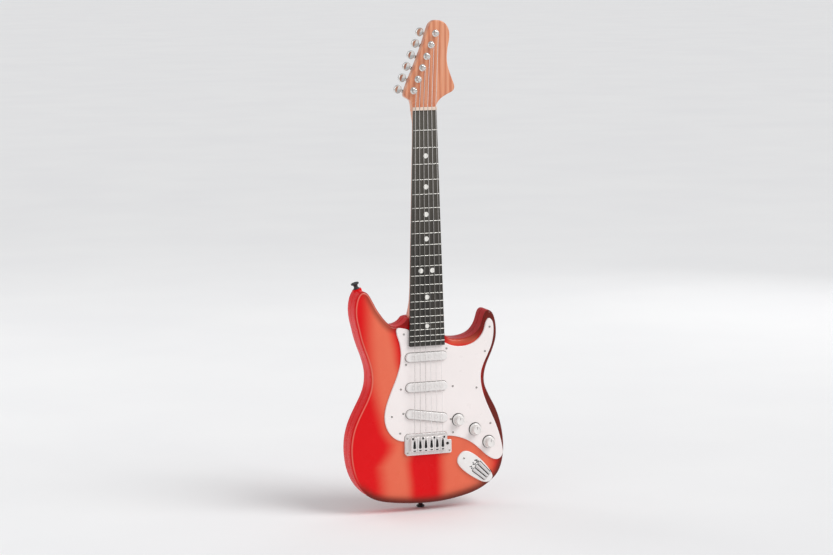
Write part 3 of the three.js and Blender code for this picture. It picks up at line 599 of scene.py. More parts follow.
def red_gloss():
    """Glossy lacquered red: bright red face with a warm, lighter red painted over it as a reflection, flanks and back
    painted darker as shade with the left flank painted brighter as lit, painted shade along the rims, a painted
    highlight line on the bass edge, faint orange peel.
    """
    m, nt, bs, tc = new_mat("red_gloss")
    sep = N(nt, "ShaderNodeSeparateXYZ")
    nt.links.new(tc.outputs["Object"], sep.inputs[0])
    v = mapping(nt, tc)
    wob = math_node(nt, "MULTIPLY", math_node(nt, "SUBTRACT", noise(nt, v, 11.0, 2.0, 0.5), 0.5), 0.010)
    x = math_node(nt, "ADD", sep.outputs[0], wob)
    z, y = sep.outputs[2], sep.outputs[1]

    def track(points):
        """A value in metres that changes with the height z, given as (z mm, value mm) pairs."""
        lo, hi = points[0][0], points[-1][0]
        t = remap(nt, z, lo / 1000, hi / 1000, 0.0, 1.0)
        r = N(nt, "ShaderNodeValToRGB")
        el = r.color_ramp.elements
        for k, (pz, pv) in enumerate(points):
            e = el[0] if k == 0 else el[-1] if k == len(points) - 1 else el.new((pz - lo) / (hi - lo))
            g = (pv + 150.0) / 300.0
            e.color = (g, g, g, 1.0)
        nt.links.new(t, r.inputs["Fac"])
        return remap(nt, r.outputs["Color"], 0.0, 1.0, -0.150, 0.150)

    def step(a, edge, soft, rising=True):
        """0 to 1 across edge with half width soft (mm)."""
        q = N(nt, "ShaderNodeMapRange", interpolation_type="SMOOTHSTEP")
        nt.links.new(math_node(nt, "SUBTRACT", a, edge if not isinstance(edge, (int, float)) else edge / 1000), q.inputs[0])
        s = soft / 1000 if rising else -soft / 1000
        q.inputs[1].default_value, q.inputs[2].default_value = -s, s
        q.inputs[3].default_value, q.inputs[4].default_value = 0.0, 1.0
        return q.outputs[0]

    def both(*vals):
        out = vals[0]
        for q in vals[1:]:
            out = math_node(nt, "MULTIPLY", out, q)
        return out

    # warm, lighter red patches painted over the face as a reflection
    left = both(step(x, track([(-112, -65), (-62, -68), (-50, -59), (-42, -53), (-32, -50), (-15, -61), (20, -71), (60, -79), (190, -83)]), 14.0),
                step(x, track([(-112, -24), (-60, -28), (-48, -24), (-20, -16), (60, -38), (80, -43), (110, -48), (130, -51), (150, -50)]), 9.0, False))
    right = both(step(x, 21.0, 11.0), step(x, 98.0, 12.0, False), step(z, 4.0, 14.0, False))
    band = both(step(z, 104.0, 6.0), step(z, 126.0, 7.0, False), step(x, 34.0, 8.0), step(x, 76.0, 6.0, False))
    low = step(z, -117.0, 4.0)
    reflection_mask = math_node(nt, "MULTIPLY", math_node(nt, "MAXIMUM", math_node(nt, "MAXIMUM", left, right), math_node(nt, "MULTIPLY", band, 0.85)), low)
    face = step(y, -34.0, 3.2, False)
    reflection_mask = math_node(nt, "MULTIPLY", reflection_mask, face)
    deep, mid, warm, flank = srgb(217, 2, 10), srgb(225, 8, 16), srgb(231, 113, 84), srgb(176, 6, 11)
    c = ramp(nt, noise(nt, v, 14.0, 3.0, 0.5), [(0.3, deep), (0.7, mid)])
    streak = noise(nt, mapping(nt, tc, scale=(1.0, 1.0, 0.25)), 30.0, 2.0, 0.5)
    c = mixc(nt, math_node(nt, "MULTIPLY", reflection_mask, remap(nt, streak, 0.3, 0.7, 0.9, 1.0)), c, warm)
    # flanks and back painted a darker red as shade, the left flank painted brighter as lit
    lit = both(step(x, -20.0, 40.0, False), step(y, -4.0, 2.0, False))
    c = mixc(nt, face, mixc(nt, lit, flank, srgb(232, 10, 17)), c)
    # painted shade along the treble rim, the lower rim, the inner edge and tip of the bass horn, and the strip right of
    # the guard
    rim = N(nt, "ShaderNodeAttribute", attribute_name="rim")
    side = math_node(nt, "MAXIMUM", step(x, 60.0, 40.0), step(z, -92.0, 16.0, False))
    horn = both(step(z, 112.0, 14.0), step(x, track([(100, -52), (130, -64), (150, -82), (170, -88), (190, -92)]), 7.0), 0.66)
    tip = both(step(z, 180.0, 10.0), step(x, -96.0, 10.0), 0.8)
    side = math_node(nt, "MAXIMUM", side, math_node(nt, "MAXIMUM", horn, tip))
    edge = both(step(math_node(nt, "MULTIPLY", rim.outputs["Fac"], 0.001), 7.6, 5.6, False), side)
    strip = both(step(x, 84.0, 8.0), step(z, -44.0, 9.0))
    dark = both(math_node(nt, "MAXIMUM", edge, strip), step(y, -33.0, 1.6, False), 0.95)
    c = mixc(nt, dark, c, srgb(92, 32, 24))
    # painted shade in a wider brown band along the lower rim and the lower right rim
    rmm = math_node(nt, "MULTIPLY", rim.outputs["Fac"], 0.001)
    wide = math_node(nt, "ADD", math_node(nt, "MULTIPLY", step(z, -92.0, 18.0, False), 0.30), both(step(x, 34.0, 34.0), step(z, -66.0, 22.0, False), 0.30), clamp=True)
    c = mixc(nt, both(step(rmm, 10.0, 10.0, False), face, wide), c, srgb(112, 50, 38))
    # painted highlight: fine pale line on the rounded edge of the bass side
    line = both(step(rmm, 1.5, 0.5), step(rmm, 2.9, 0.6, False), step(x, -62.0, 14.0, False), step(z, -74.0, 22.0), step(y, -35.2, 0.6, False), 0.55)
    c = mixc(nt, line, c, srgb(246, 150, 132))
    nt.links.new(c, bs.inputs["Base Color"])
    r = remap(nt, noise(nt, v, 40.0, 5.0, 0.6), 0.3, 0.7, 0.24, 0.34)
    nt.links.new(r, bs.inputs["Roughness"])
    bs.inputs["Specular IOR Level"].default_value = 0.07
    nt.links.new(remap(nt, math_node(nt, "MAXIMUM", face, step(y, -2.4, 1.4)), 0.0, 1.0, 0.06, 0.24), bs.inputs["Coat Weight"])
    bs.inputs["Coat Roughness"].default_value = 0.06
    bs.inputs["Coat IOR"].default_value = 1.5
    peel = noise(nt, v, 260.0, 2.0, 0.5)
    scr = mapping(nt, tc, scale=(1.0, 1.0, 14.0), rot=(0, 0.6, 0))
    hair = noise(nt, scr, 300.0, 2.0, 0.7)
    h = math_node(nt, "ADD", peel, math_node(nt, "MULTIPLY", math_node(nt, "GREATER_THAN", hair, 0.74), -0.35))
    b1 = N(nt, "ShaderNodeBump", i_Strength=0.05, i_Distance=0.0002)
    nt.links.new(h, b1.inputs["Height"])
    nt.links.new(b1.outputs["Normal"], bs.inputs["Normal"])
    nt.links.new(b1.outputs["Normal"], bs.inputs["Coat Normal"])
    return m


def rim_distance(o, outline):
    """Stores how far every vertex of the front face is from the outline, in mm, for the paint."""
    me = o.data
    co = np.empty(len(me.vertices) * 3)
    me.vertices.foreach_get("co", co)
    co = co.reshape(-1, 3) * 1000
    val = edge_distance(co[:, [0, 2]], outline)
    val[-co[:, 1] < 30] = 30.0
    at = me.attributes.new("rim", "FLOAT", "POINT")
    at.data.foreach_set("value", val)


def wood():
    """Printed maple: warm pinkish orange with long straight grain along the neck and darker annual lines."""
    m, nt, bs, tc = new_mat("wood_print")
    v = mapping(nt, tc, scale=(1.0, 1.0, 0.055), rot=(0, -0.03, 0))
    w = N(nt, "ShaderNodeTexWave", wave_type="BANDS", bands_direction="X", wave_profile="SIN",
          i_Scale=42.0, i_Distortion=5.5, i_Detail=4.0)
    w.inputs["Detail Scale"].default_value = 1.6
    w.inputs["Detail Roughness"].default_value = 0.65
    nt.links.new(v, w.inputs["Vector"])
    light, dark = srgb(229, 154, 113), srgb(202, 118, 82)
    c = ramp(nt, w.outputs["Fac"], [(0.0, dark), (0.35, lerp3(dark, light, 0.6)), (0.75, light), (1.0, lerp3(light, (1, 1, 1), 0.06))])
    fib = noise(nt, mapping(nt, tc, scale=(1.0, 1.0, 0.03)), 900.0, 3.0, 0.7)
    c = mixc(nt, remap(nt, fib, 0.45, 0.75, 0.0, 0.32), c, srgb(170, 96, 70))
    big = noise(nt, mapping(nt, tc, scale=(1, 1, 0.3)), 26.0, 3.0, 0.5)
    c = mixc(nt, remap(nt, big, 0.35, 0.75, 0.0, 0.35), c, srgb(214, 138, 104))
    nt.links.new(c, bs.inputs["Base Color"])
    nt.links.new(remap(nt, fib, 0.3, 0.7, 0.33, 0.46), bs.inputs["Roughness"])
    bs.inputs["Coat Weight"].default_value = 0.35
    bs.inputs["Coat Roughness"].default_value = 0.15
    bump(nt, bs, math_node(nt, "ADD", w.outputs["Fac"], math_node(nt, "MULTIPLY", fib, 0.6)), 0.06, 0.0001)
    return m


def board():
    """Near-black brown fingerboard with open pores drawn out along the neck."""
    m, nt, bs, tc = new_mat("board_black")
    v = mapping(nt, tc, scale=(1.0, 1.0, 0.05))
    fib = noise(nt, v, 620.0, 4.0, 0.7)
    band = noise(nt, mapping(nt, tc, scale=(1.0, 1.0, 0.09)), 130.0, 4.0, 0.6, 0.6)
    c = ramp(nt, band, [(0.25, srgb(34, 31, 27)), (0.55, srgb(50, 46, 40)), (0.8, srgb(74, 67, 58))])
    c = mixc(nt, remap(nt, fib, 0.5, 0.72, 0.0, 0.75), c, srgb(30, 26, 24))
    sep = N(nt, "ShaderNodeSeparateXYZ")
    nt.links.new(tc.outputs["Object"], sep.inputs[0])
    c = mixc(nt, remap(nt, sep.outputs[2], 0.20, 0.42, 0.0, 0.70), c, srgb(98, 93, 84))
    nt.links.new(c, bs.inputs["Base Color"])
    nt.links.new(remap(nt, fib, 0.3, 0.7, 0.36, 0.55), bs.inputs["Roughness"])
    bump(nt, bs, fib, 0.12, 0.00012)
    return m


def over_board(nt, tc, c):
    """Strings darker over the fingerboard, brighter over the guard and the headstock."""
    sep = N(nt, "ShaderNodeSeparateXYZ")
    nt.links.new(tc.outputs["Object"], sep.inputs[0])
    z = sep.outputs[2]
    low = math_node(nt, "MULTIPLY", remap(nt, z, 0.103, 0.108, 0.0, 0.78), remap(nt, z, 0.20, 0.40, 1.0, 0.22))
    low = math_node(nt, "MULTIPLY", low, remap(nt, z, 0.43, 0.45, 1.0, 0.35))
    return mixc(nt, low, c, srgb(84, 80, 76))


def wound_string():
    """Roundwound steel string: fine turns round the core, seen as close rings."""
    m, nt, bs, tc = new_mat("string_wound")
    w = N(nt, "ShaderNodeTexWave", wave_type="BANDS", bands_direction="Z", i_Scale=520.0, i_Distortion=0.4)
    nt.links.new(mapping(nt, tc), w.inputs["Vector"])
    n = noise(nt, mapping(nt, tc), 240.0, 3.0, 0.6)
    c = ramp(nt, w.outputs["Fac"], [(0.0, srgb(168, 163, 160)), (0.5, srgb(222, 217, 214)), (1.0, srgb(240, 236, 233))])
    c = mixc(nt, remap(nt, n, 0.5, 0.8, 0.0, 0.25), c, srgb(150, 134, 116))
    c = over_board(nt, tc, c)
    nt.links.new(c, bs.inputs["Base Color"])
    nt.links.new(remap(nt, n, 0.3, 0.7, 0.28, 0.42), bs.inputs["Roughness"])
    bs.inputs["Metallic"].default_value = 0.35
    bump(nt, bs, w.outputs["Fac"], 0.35, 0.00008)
    return m


def circuit():
    m, nt, bs, tc = new_mat("circuit_board")
    v = mapping(nt, tc)
    b = N(nt, "ShaderNodeTexBrick", i_Scale=160.0)
    b.inputs["Mortar Size"].default_value = 0.03
    nt.links.new(mapping(nt, tc, rot=(math.pi / 2, 0, 0)), b.inputs["Vector"])
    c = mixc(nt, b.outputs["Fac"], srgb(34, 92, 56), srgb(64, 132, 84))
    c = mixc(nt, remap(nt, noise(nt, v, 300, 2), 0.6, 0.7, 0, 0.4), c, srgb(190, 186, 160))
    nt.links.new(c, bs.inputs["Base Color"])
    nt.links.new(remap(nt, noise(nt, v, 90, 3), 0.3, 0.7, 0.3, 0.5), bs.inputs["Roughness"])
    bump(nt, bs, b.outputs["Fac"], 0.2, 0.0001)
    return m


def cone():
    m, nt, bs, tc = new_mat("speaker_cone")
    v = mapping(nt, tc, loc=(-SPEAKER_C[0] / 1000, 0, -SPEAKER_C[1] / 1000))
    w = N(nt, "ShaderNodeTexWave", wave_type="RINGS", rings_direction="Y", i_Scale=70.0, i_Distortion=0.3)
    nt.links.new(v, w.inputs["Vector"])
    n = noise(nt, mapping(nt, tc), 500, 3)
    c = ramp(nt, w.outputs["Fac"], [(0, srgb(24, 24, 26)), (1, srgb(52, 52, 56))])
    c = mixc(nt, remap(nt, n, 0.5, 0.7, 0, 0.4), c, srgb(70, 68, 66))
    nt.links.new(c, bs.inputs["Base Color"])
    nt.links.new(remap(nt, n, 0.3, 0.7, 0.65, 0.9), bs.inputs["Roughness"])
    bump(nt, bs, w.outputs["Fac"], 0.5, 0.0003)
    return m


def cell_mat():
    """Battery wrapper: two plain colours split along the cell, foil ends."""
    m, nt, bs, tc = new_mat("cell")
    sep = N(nt, "ShaderNodeSeparateXYZ")
    nt.links.new(tc.outputs["Object"], sep.inputs[0])
    n = noise(nt, mapping(nt, tc, scale=(1, 1, 6)), 120, 3)
    t = math_node(nt, "ADD", sep.outputs[2], math_node(nt, "MULTIPLY", n, 0.0006))
    c = ramp(nt, remap(nt, t, -0.088, -0.034, 0, 1), [(0.0, srgb(186, 184, 178)), (0.07, srgb(36, 62, 104)), (0.68, srgb(36, 62, 104)),
                                                     (0.70, srgb(206, 158, 72)), (0.93, srgb(206, 158, 72)), (0.95, srgb(190, 188, 182))], "CONSTANT")
    c = mixc(nt, remap(nt, n, 0.5, 0.8, 0, 0.2), c, (0.02, 0.02, 0.03))
    nt.links.new(c, bs.inputs["Base Color"])
    nt.links.new(remap(nt, n, 0.3, 0.7, 0.25, 0.4), bs.inputs["Roughness"])
    bs.inputs["Metallic"].default_value = 0.35
    bump(nt, bs, n, 0.06, 0.0001)
    return m


RED = red_gloss()
WOOD = wood()
BOARD = board()
GUARD_M = plastic("guard_white", (244, 236, 234), 0.30, 0.03, 700, 0.04, coat=0.25, coat_rough=0.12)
PICKUP_M = plastic("pickup_white", (233, 229, 227), 0.26, 0.03, 800, 0.05, coat=0.4, coat_rough=0.1)
KNOB_M = plastic("knob_white", (234, 230, 227), 0.22, 0.03, 800, 0.04, coat=0.5, coat_rough=0.08)
PANEL_M = plastic("panel_silver", (238, 236, 234), 0.24, 0.04, 900, 0.05, coat=0.5, coat_rough=0.08)
KEY_M = plastic("key_white", (216, 213, 212), 0.22, 0.05, 900, 0.05, coat=0.5, coat_rough=0.08)
NUT_M = plastic("nut_bone", (232, 208, 190), 0.38, 0.06, 600, 0.08)
DARK_M = plastic("dark_plastic", (34, 34, 37), 0.45, 0.08, 1100, 0.16)
INK_AND_SHADE_M = plastic("mark_ink_and_shade", (26, 24, 28), 0.5, 0.06, 1200, 0.03)
GAP_SHADE_M = plastic("recess_shade_grey", (104, 100, 98), 0.5, 0.06, 900, 0.04)
SEAT_SHADE_M = plastic("seat_shade_grey", (92, 88, 86), 0.8, 0.10, 1500, 0.25)
DOT_M = plastic("dot_pearl", (248, 246, 240), 0.22, 0.05, 500, 0.03, coat=0.5, coat_rough=0.06)
BRIDGE_M = metal("silver_trim", (236, 231, 229), 0.26, (1.0, 1.0, 0.04), 0.20, 0.30, 0.05)
HOLE_SHADE_M = plastic("slot_shade_black", (14, 13, 14), 0.6, 0.05, 900, 0.05)
CHROME = metal("chrome", (232, 231, 228), 0.10, (1, 1, 1), 0.05, 1.0, 0.02, 0.04)
FRET_M = metal("fret_wire", (214, 212, 206), 0.26, (0.05, 1, 1), 0.10, 0.9, 0.03)
STEEL_M = metal("steel", (190, 188, 184), 0.28, (1, 1, 1), 0.14, 1.0, 0.05)
SCREW_M = metal("screw_nickel", (186, 182, 178), 0.25, (1, 1, 1), 0.12, 1.0, 0.04)
PLAIN_STR = metal("string_plain", (238, 234, 232), 0.26, (1, 1, 0.02), 0.08, 0.35, 0.02, shade=over_board)
WOUND = wound_string()
CIRCUIT = circuit()
CONE = cone()
CELL_M = cell_mat()

# ------------------------------------------------------------------ body shells
loop = resample(ccw(spline(BODY, 10)), 2.6)
CROWN, CROWN_R = 0.95, 42.0
top_edge = BODY_D - CROWN


def face_depth(t):
    return BODY_D - CROWN * (1 - np.minimum(t / CROWN_R, 1.0)) ** 2


def face_at(x, z):
    rim = offset(loop, EDGE_R)
    return float(face_depth(edge_distance(np.array([[x, z]], float), rim))[0])


arc = np.linspace(0, math.pi / 2, 9)
prof = [(1.2, SPLIT_D + 0.15), (0.5, SPLIT_D + 0.15), (0.0, SPLIT_D + 0.6), (0.0, 24.0)]
prof += [(EDGE_R * (1 - math.cos(a)), top_edge - EDGE_R * (1 - math.sin(a))) for a in arc]
front = crowned(Build(), loop, prof, lambda t: face_depth(t), 7.0).obj("body_front")
cut = Build()
inner = resample(offset(loop, 2.9), 4.0)
for x, z in KNOBS:
    cut.prism(circle(4.2, 32, x, z), [(0, 30), (0, 45)])
cut.prism(turn(rounded(rect(28.6, 19.4), 2.0), KEY_ANGLE, *KEY_C), [(0, 30), (0, 45)])
cut.box(-23, 23, 105.6, 170, SPLIT_D - 1, 60)
for x, z in CASE_SCREWS:
    cut.prism(circle(1.9, 16, x, z), [(0, 10), (0, 29)])
boolean(front, cut)
cav = Build().prism(inner, [(0, SPLIT_D - 1), (0, BODY_D - 3.6)]).obj("cav")
keep = Build().box(-25.6, 25.6, 103, 170, 0, 60)
for x, z in CASE_SCREWS:
    keep.prism(circle(4.6, 16, x, z), [(0, 0), (0, BODY_D)])
boolean(cav, keep)
mod = front.modifiers.new("b", "BOOLEAN")
mod.operation, mod.solver, mod.object = "DIFFERENCE", "EXACT", cav
dg = bpy.context.evaluated_depsgraph_get()
me = bpy.data.meshes.new_from_object(front.evaluated_get(dg), depsgraph=dg)
front.modifiers.clear()
front.data = me
bpy.data.objects.remove(cav)
place(front, RED, "body", ["body_front_shell"], angle=28)
rim_distance(front, loop)

prof = [(EDGE_R * (1 - math.sin(a)), EDGE_R * (1 - math.cos(a))) for a in arc]
prof = [(EDGE_R + 0.4, 0.0)] + prof + [(0.0, 12.0), (0.0, SPLIT_D - 0.6), (0.5, SPLIT_D - 0.15), (1.2, SPLIT_D - 0.15)]
rear = Build().prism(loop, prof).obj("body_rear")
cav = Build().prism(inner, [(0, 2.8), (0, SPLIT_D + 2)]).obj("cav")
keep = Build().box(-25.6, 25.6, 103, 170, 0, 60)
for x, z in CASE_SCREWS:
    keep.prism(circle(4.6, 20, x, z), [(0, 0), (0, BODY_D)])
boolean(cav, keep)
mod = rear.modifiers.new("b", "BOOLEAN")
mod.operation, mod.solver, mod.object = "DIFFERENCE", "EXACT", cav
dg = bpy.context.evaluated_depsgraph_get()
me = bpy.data.meshes.new_from_object(rear.evaluated_get(dg), depsgraph=dg)
rear.modifiers.clear()
rear.data = me
bpy.data.objects.remove(cav)
# seats of the strap buttons
HORN_V = (-0.3, 0.0, 0.954)
seat = [(0, -4), (6.6, -4), (6.6, 0.6), (6.2, 1.2), (5.6, 1.5), (0, 1.5)]
boolean(rear, Build().lathe([(0, -3.2), (6.6, -3.2), (6.6, 0.2), (6.3, 0.62), (5.8, 0.8), (0, 0.8)], (0, 8.6, -119.4), (0, 0, -1), 32), "UNION")
boolean(rear, Build().lathe([(0, -4.1), (6.6, -4.1), (6.6, 0.2), (6.3, 0.62), (5.8, 0.8), (0, 0.8)],
                            (-90.4, 8.6, 184.6), HORN_V, 32), "UNION")
DOOR_X0, DOOR_X1, DOOR_Z0, DOOR_Z1 = -70.2, -25.8, -86.7, -27.3
cut = Build().prism(rounded([(DOOR_X0 - 0.35, DOOR_Z0 - 0.35), (DOOR_X1 + 0.35, DOOR_Z0 - 0.35), (DOOR_X1 + 0.35, DOOR_Z1 + 0.35),
                             (DOOR_X0 - 0.35, DOOR_Z1 + 0.35)], 1.2), [(0, -3), (0, 6)])
for i, w in enumerate([30, 42, 48, 42, 30]):
    cut.prism(stadium(w, 3.4, 8) + (SPEAKER_C[0], SPEAKER_C[1] + (i - 2) * 8.2), [(-0.5, -0.4), (0.0, 0.5), (0.0, 6.0)])
for x, z in CASE_SCREWS + NECK_SCREWS:
    cut.prism(circle(3.6, 28, x, z), [(-0.45, -0.2), (0.0, 0.45), (0, 1.9), (0, 4.3)])
boolean(rear, cut)
cut = Build()
for x, z in CASE_SCREWS + NECK_SCREWS:
    cut.prism(circle(1.9, 16, x, z), [(0, 3.5), (0, 20)])
boolean(rear, cut)
place(rear, RED, "body", ["body_rear_shell"], angle=28)
rim_distance(rear, loop)

# ------------------------------------------------------------------ neck and headstock
ROWS = np.array([[106.0, 22.5, 17.15, 9], [144.6, 22.5, 17.15, 9], [146.4, 23.6, 17.3, 7.5], [149, 24.0, 17.8, 6], [152, 23.9, 18.5, 5],
                 [160, 23.7, 21, 3.5], [170, 23.4, 23.4, 2.7], [186, 23.0, 24.8, 2.3], [240, 21.5, 25.3, 2.2], [300, 19.8, 25.8, 2.2],
                 [408, 16.82, 26.9, 2.2], [417, 16.6, 27.2, 2.8], [423, 16.55, 27.6, 5.0], [428, 16.6, 28.0, 9.0], [433, 16.6, 28.3, 11.0], [440, 16.4, 28.7, 11.0]])
zs = np.r_[np.linspace(106, 144, 6), np.linspace(145, 200, 30), np.linspace(206, 410, 26), np.linspace(414, 440, 12)]
cols = [np.interp(zs, ROWS[:, 0], ROWS[:, k]) for k in range(4)]
for k in (1, 2, 3):
    c = cols[k]
    for _ in range(2):
        c[8:-1] = 0.25 * c[7:-2] + 0.5 * c[8:-1] + 0.25 * c[9:]
rings = []
for z, half, back, n in zip(*([zs] + cols[1:])):
    pts = [(half - 0.35, 40.1), (half * 0.5, 40.1), (0, 40.1), (-half * 0.5, 40.1), (-half + 0.35, 40.1), (-half, 39.75)]
    depth = 39.75 - 0.6 - back
    for a in np.linspace(0, math.pi, 25):
        ca, sa = math.cos(a), math.sin(a)
        pts.append((-half * math.copysign(abs(ca) ** (2 / n), ca), 39.15 - depth * abs(sa) ** (2 / n)))
    pts.append((half, 39.75))
    rings.append(np.array([(x, d, z) for x, d in pts]))
neck = Build().skin(rings).obj("neck_visual")
hl = spline(HEAD, 7, closed=False, corners=())
hl = np.vstack([hl, [[16.7, 430.0], [-16.7, 430.0]]])
head = Build().prism(hl, fillet(28.0, 39.6, 1.6, 1.6, 5))
boolean(neck, head, "UNION")
cut = Build()
for x, z in POSTS:
    cut.prism(circle(3.1, 24, x, z), [(0, 20), (0, 50)])
boolean(neck, cut)
cut = Build()
for x, z in NECK_SCREWS:
    cut.prism(circle(1.9, 14, x, z), [(0, 10), (0, 30)])
boolean(neck, cut)
place(neck, WOOD, "body", ["neck"], angle=40)

# ------------------------------------------------------------------ fingerboard, dots, frets, nut
fb_half = lambda z: FB_HALF0 + (FB_HALF1 - FB_HALF0) * (z - FB_Z0) / (NUT_Z - FB_Z0)
fb = Build().prism(rounded([(-FB_HALF0, FB_Z0), (FB_HALF0, FB_Z0), (FB_HALF1, BOARD_Z1), (-FB_HALF1, BOARD_Z1)], [0.9, 0.9, 0.9, 0.9], 4),
                   fillet(40.1, FB_D1, 0.0, 0.7, 5)).obj("fingerboard")
place(fb, BOARD, "body", ["fretboard"], angle=40)
fret_z = [NUT_Z - SCALE * (1 - 2 ** (-n / 12)) for n in range(0, 22)]
frets = Build()
for z in fret_z[1:]:
    half = fb_half(z) - 0.15
    rings = []
    for s in np.r_[-1.0, -0.985, -0.96, np.linspace(-0.92, 0.92, 7), 0.96, 0.985, 1.0]:
        e = 1.0 - max(0.0, (abs(s) - 0.93) / 0.07) ** 2 * 0.82
        ring = [(s * half, FB_D1 - 0.25, z - 0.78), (s * half, FB_D1 + 0.1 * e, z - 0.78)]
        ring += [(s * half, FB_D1 + 0.1 + (1.2 * e) * math.sin(a), z - 0.74 * math.cos(a)) for a in np.linspace(0.25, math.pi - 0.25, 9)]
        ring += [(s * half, FB_D1 + 0.1 * e, z + 0.78), (s * half, FB_D1 - 0.25, z + 0.78)]
        rings.append(np.array(ring))
    frets.skin(rings)
place(frets.obj("frets"), FRET_M, "body", ["fret_ladder"], angle=50)
dots = Build()
for n in (3, 5, 7, 9, 12, 15, 19):
    z = (fret_z[n] + fret_z[n - 1]) / 2
    r = 3.5 if n < 18 else 3.1
    for x in ((-8.4, 8.4) if n == 12 else (0.0,)):
        dots.lathe([(0, -0.6), (r, -0.6), (r, 0.0), (r - 0.12, 0.05), (r * 0.6, 0.09), (0, 0.11)], (x, FB_D1, z), (0, 1, 0), 40)
place(dots.obj("position_dots"), DOT_M, "body", angle=40)
nut = Build().prism([(-16.6, 431.7), (16.6, 431.7), (16.6, 436.2), (-16.6, 436.2)], fillet(40.1, 46.4, 0.0, 0.9, 5)[:-1] + [(0.95, 46.4)]).obj("nut_visual")
cut = Build()
for i in range(6):
    x, r = (i - 2.5) * NUT_PITCH, STRING_R[i] + 0.08
    pr = [(x + r * math.cos(a), 45.9 + r * math.sin(a)) for a in np.linspace(math.pi, 2 * math.pi, 9)] + [(x + r * 1.6, 50), (x - r * 1.6, 50)]
    cut.skin([np.array([(px, d, z) for px, d in pr]) for z in (429.0, 438.5)])
boolean(nut, cut)
place(nut, NUT_M, "body", ["nut"], angle=35, bevel=0.2)

# ------------------------------------------------------------------ pickguard
gl = np.array(GUARD)
gs = spline(GUARD, 7, closed=False)
gs = resample(ccw(gs), 1.8)
guard = Build().prism(gs, [(0.0, 37.0), (0.0, 39.15), (0.35, 39.55), (0.75, PG_D1 - 0.04), (1.1, PG_D1), (1.6, PG_D1)]).obj("guard")
cut = Build()
cut.prism(offset(ccw(BRIDGE), -0.5), [(0, 30), (0, 50)])
cut.box(-23, 23, 105.6, 200, 30, 50)
for x, z in KNOBS:
    cut.prism(circle(4.2, 32, x, z), [(0, 30), (0, 50)])
boolean(guard, cut)
cut = Build()
for name, x, z, l, h, a in PICKUPS:
    cut.prism(turn(stadium(l + 1.3, h + 1.3, 12), math.radians(a), x, z), [(0, 38.9), (0, PG_D1 - 0.25), (-0.25, PG_D1 + 0.05), (-0.25, 45)])
for x, z in KNOBS:
    cut.prism(circle(9.2, 64, x - 0.5, z + 0.5), [(0, 38.6), (0, PG_D1 - 0.3), (-0.35, PG_D1 + 0.05), (-0.35, 45)])
boolean(guard, cut)
place(guard, GUARD_M, "body", ["pickguard"], angle=30)

# ------------------------------------------------------------------ pickups
for name, x, z, l, h, a in PICKUPS:
    ang = math.radians(a)
    p = Build().prism(turn(stadium(l, h, 16), ang, x, z),
                      [(0.0, 39.12), (0.0, 41.9)] + [(1.7 * (1 - math.cos(t)), 43.6 - 1.7 * (1 - math.sin(t))) for t in np.linspace(0, math.pi / 2, 9)] + [(2.0, 43.6)]).obj(name + "_cover")
    cut = Build()
    for i in range(6):
        c = turn(np.array([[(i - 2.5) * SADDLE_PITCH, 0.0]]), ang, x, z)[0]
        cut.lathe([(2.05, -0.35), (2.55, -0.35), (2.7, 0.3), (1.9, 0.3), (2.05, -0.35)], (c[0], 43.6, c[1]), (0, 1, 0), 32)
    boolean(p, cut)
    place(p, PICKUP_M, "body", [name], angle=30)
    # grey rings down in the gaps round the pickups, painted shade for the dark gaps
    q = [turn(stadium(l + g, h + g, 16), ang, x, z) for g in (1.2, 0.06)]
    gap = [(q[0], 38.9), (q[0], 39.2), (q[1], 39.2), (q[1], 38.9)]
    gap_shade = Build().skin([np.c_[k[:, 0], np.full(len(k), dd), k[:, 1]] for k, dd in gap], ends=False, around=True)
    place(gap_shade.obj(name + "_gasket"), GAP_SHADE_M, "body", angle=40)
# grey rings in the knob seats, set half a millimetre off centre towards the upper left: painted shade for the dark
# crescent round each knob
b = Build()
for x, z in KNOBS:
    b.lathe([(4.6, 38.6), (9.15, 38.6), (9.15, 38.9), (4.6, 38.9), (4.6, 38.6)], (x - 0.5, 0, z + 0.5), (0, 1, 0), 64)
place(b.obj("knob_seat_shade"), SEAT_SHADE_M, "body", angle=40)

# ------------------------------------------------------------------ screws
def screw_head(b, x, z, top, r=2.0, h=0.7, mi=0):
    """Domed cross-head screw standing h above the face at depth top, with a recess cut into it."""
    ring = lambda rr, d, n=28: [(x + rr * math.cos(a), d, z + rr * math.sin(a)) for a in np.linspace(0, 2 * math.pi, n, endpoint=False)]
    n = 28
    w, l = r * 0.17, r * 0.62

    def star(scale, d):
        pts = []
        for a in np.linspace(0, 2 * math.pi, n, endpoint=False):
            ca, sa = abs(math.cos(a)), abs(math.sin(a))
            m = max(ca, sa)
            q = min(ca, sa)
            lim = min(l / m, w / q if q > 1e-6 else 1e9)
            pts.append((x + lim * scale * math.cos(a), d, z + lim * scale * math.sin(a)))
        return pts
    rings = [ring(r, top - 0.6), ring(r, top + h * 0.25), ring(r * 0.93, top + h * 0.6), ring(r * 0.78, top + h * 0.86),
             ring(r * 0.66, top + h * 0.97), star(1.0, top + h * 0.98), star(0.72, top + h * 0.1)]
    b.skin([np.array(q) for q in rings], mi)


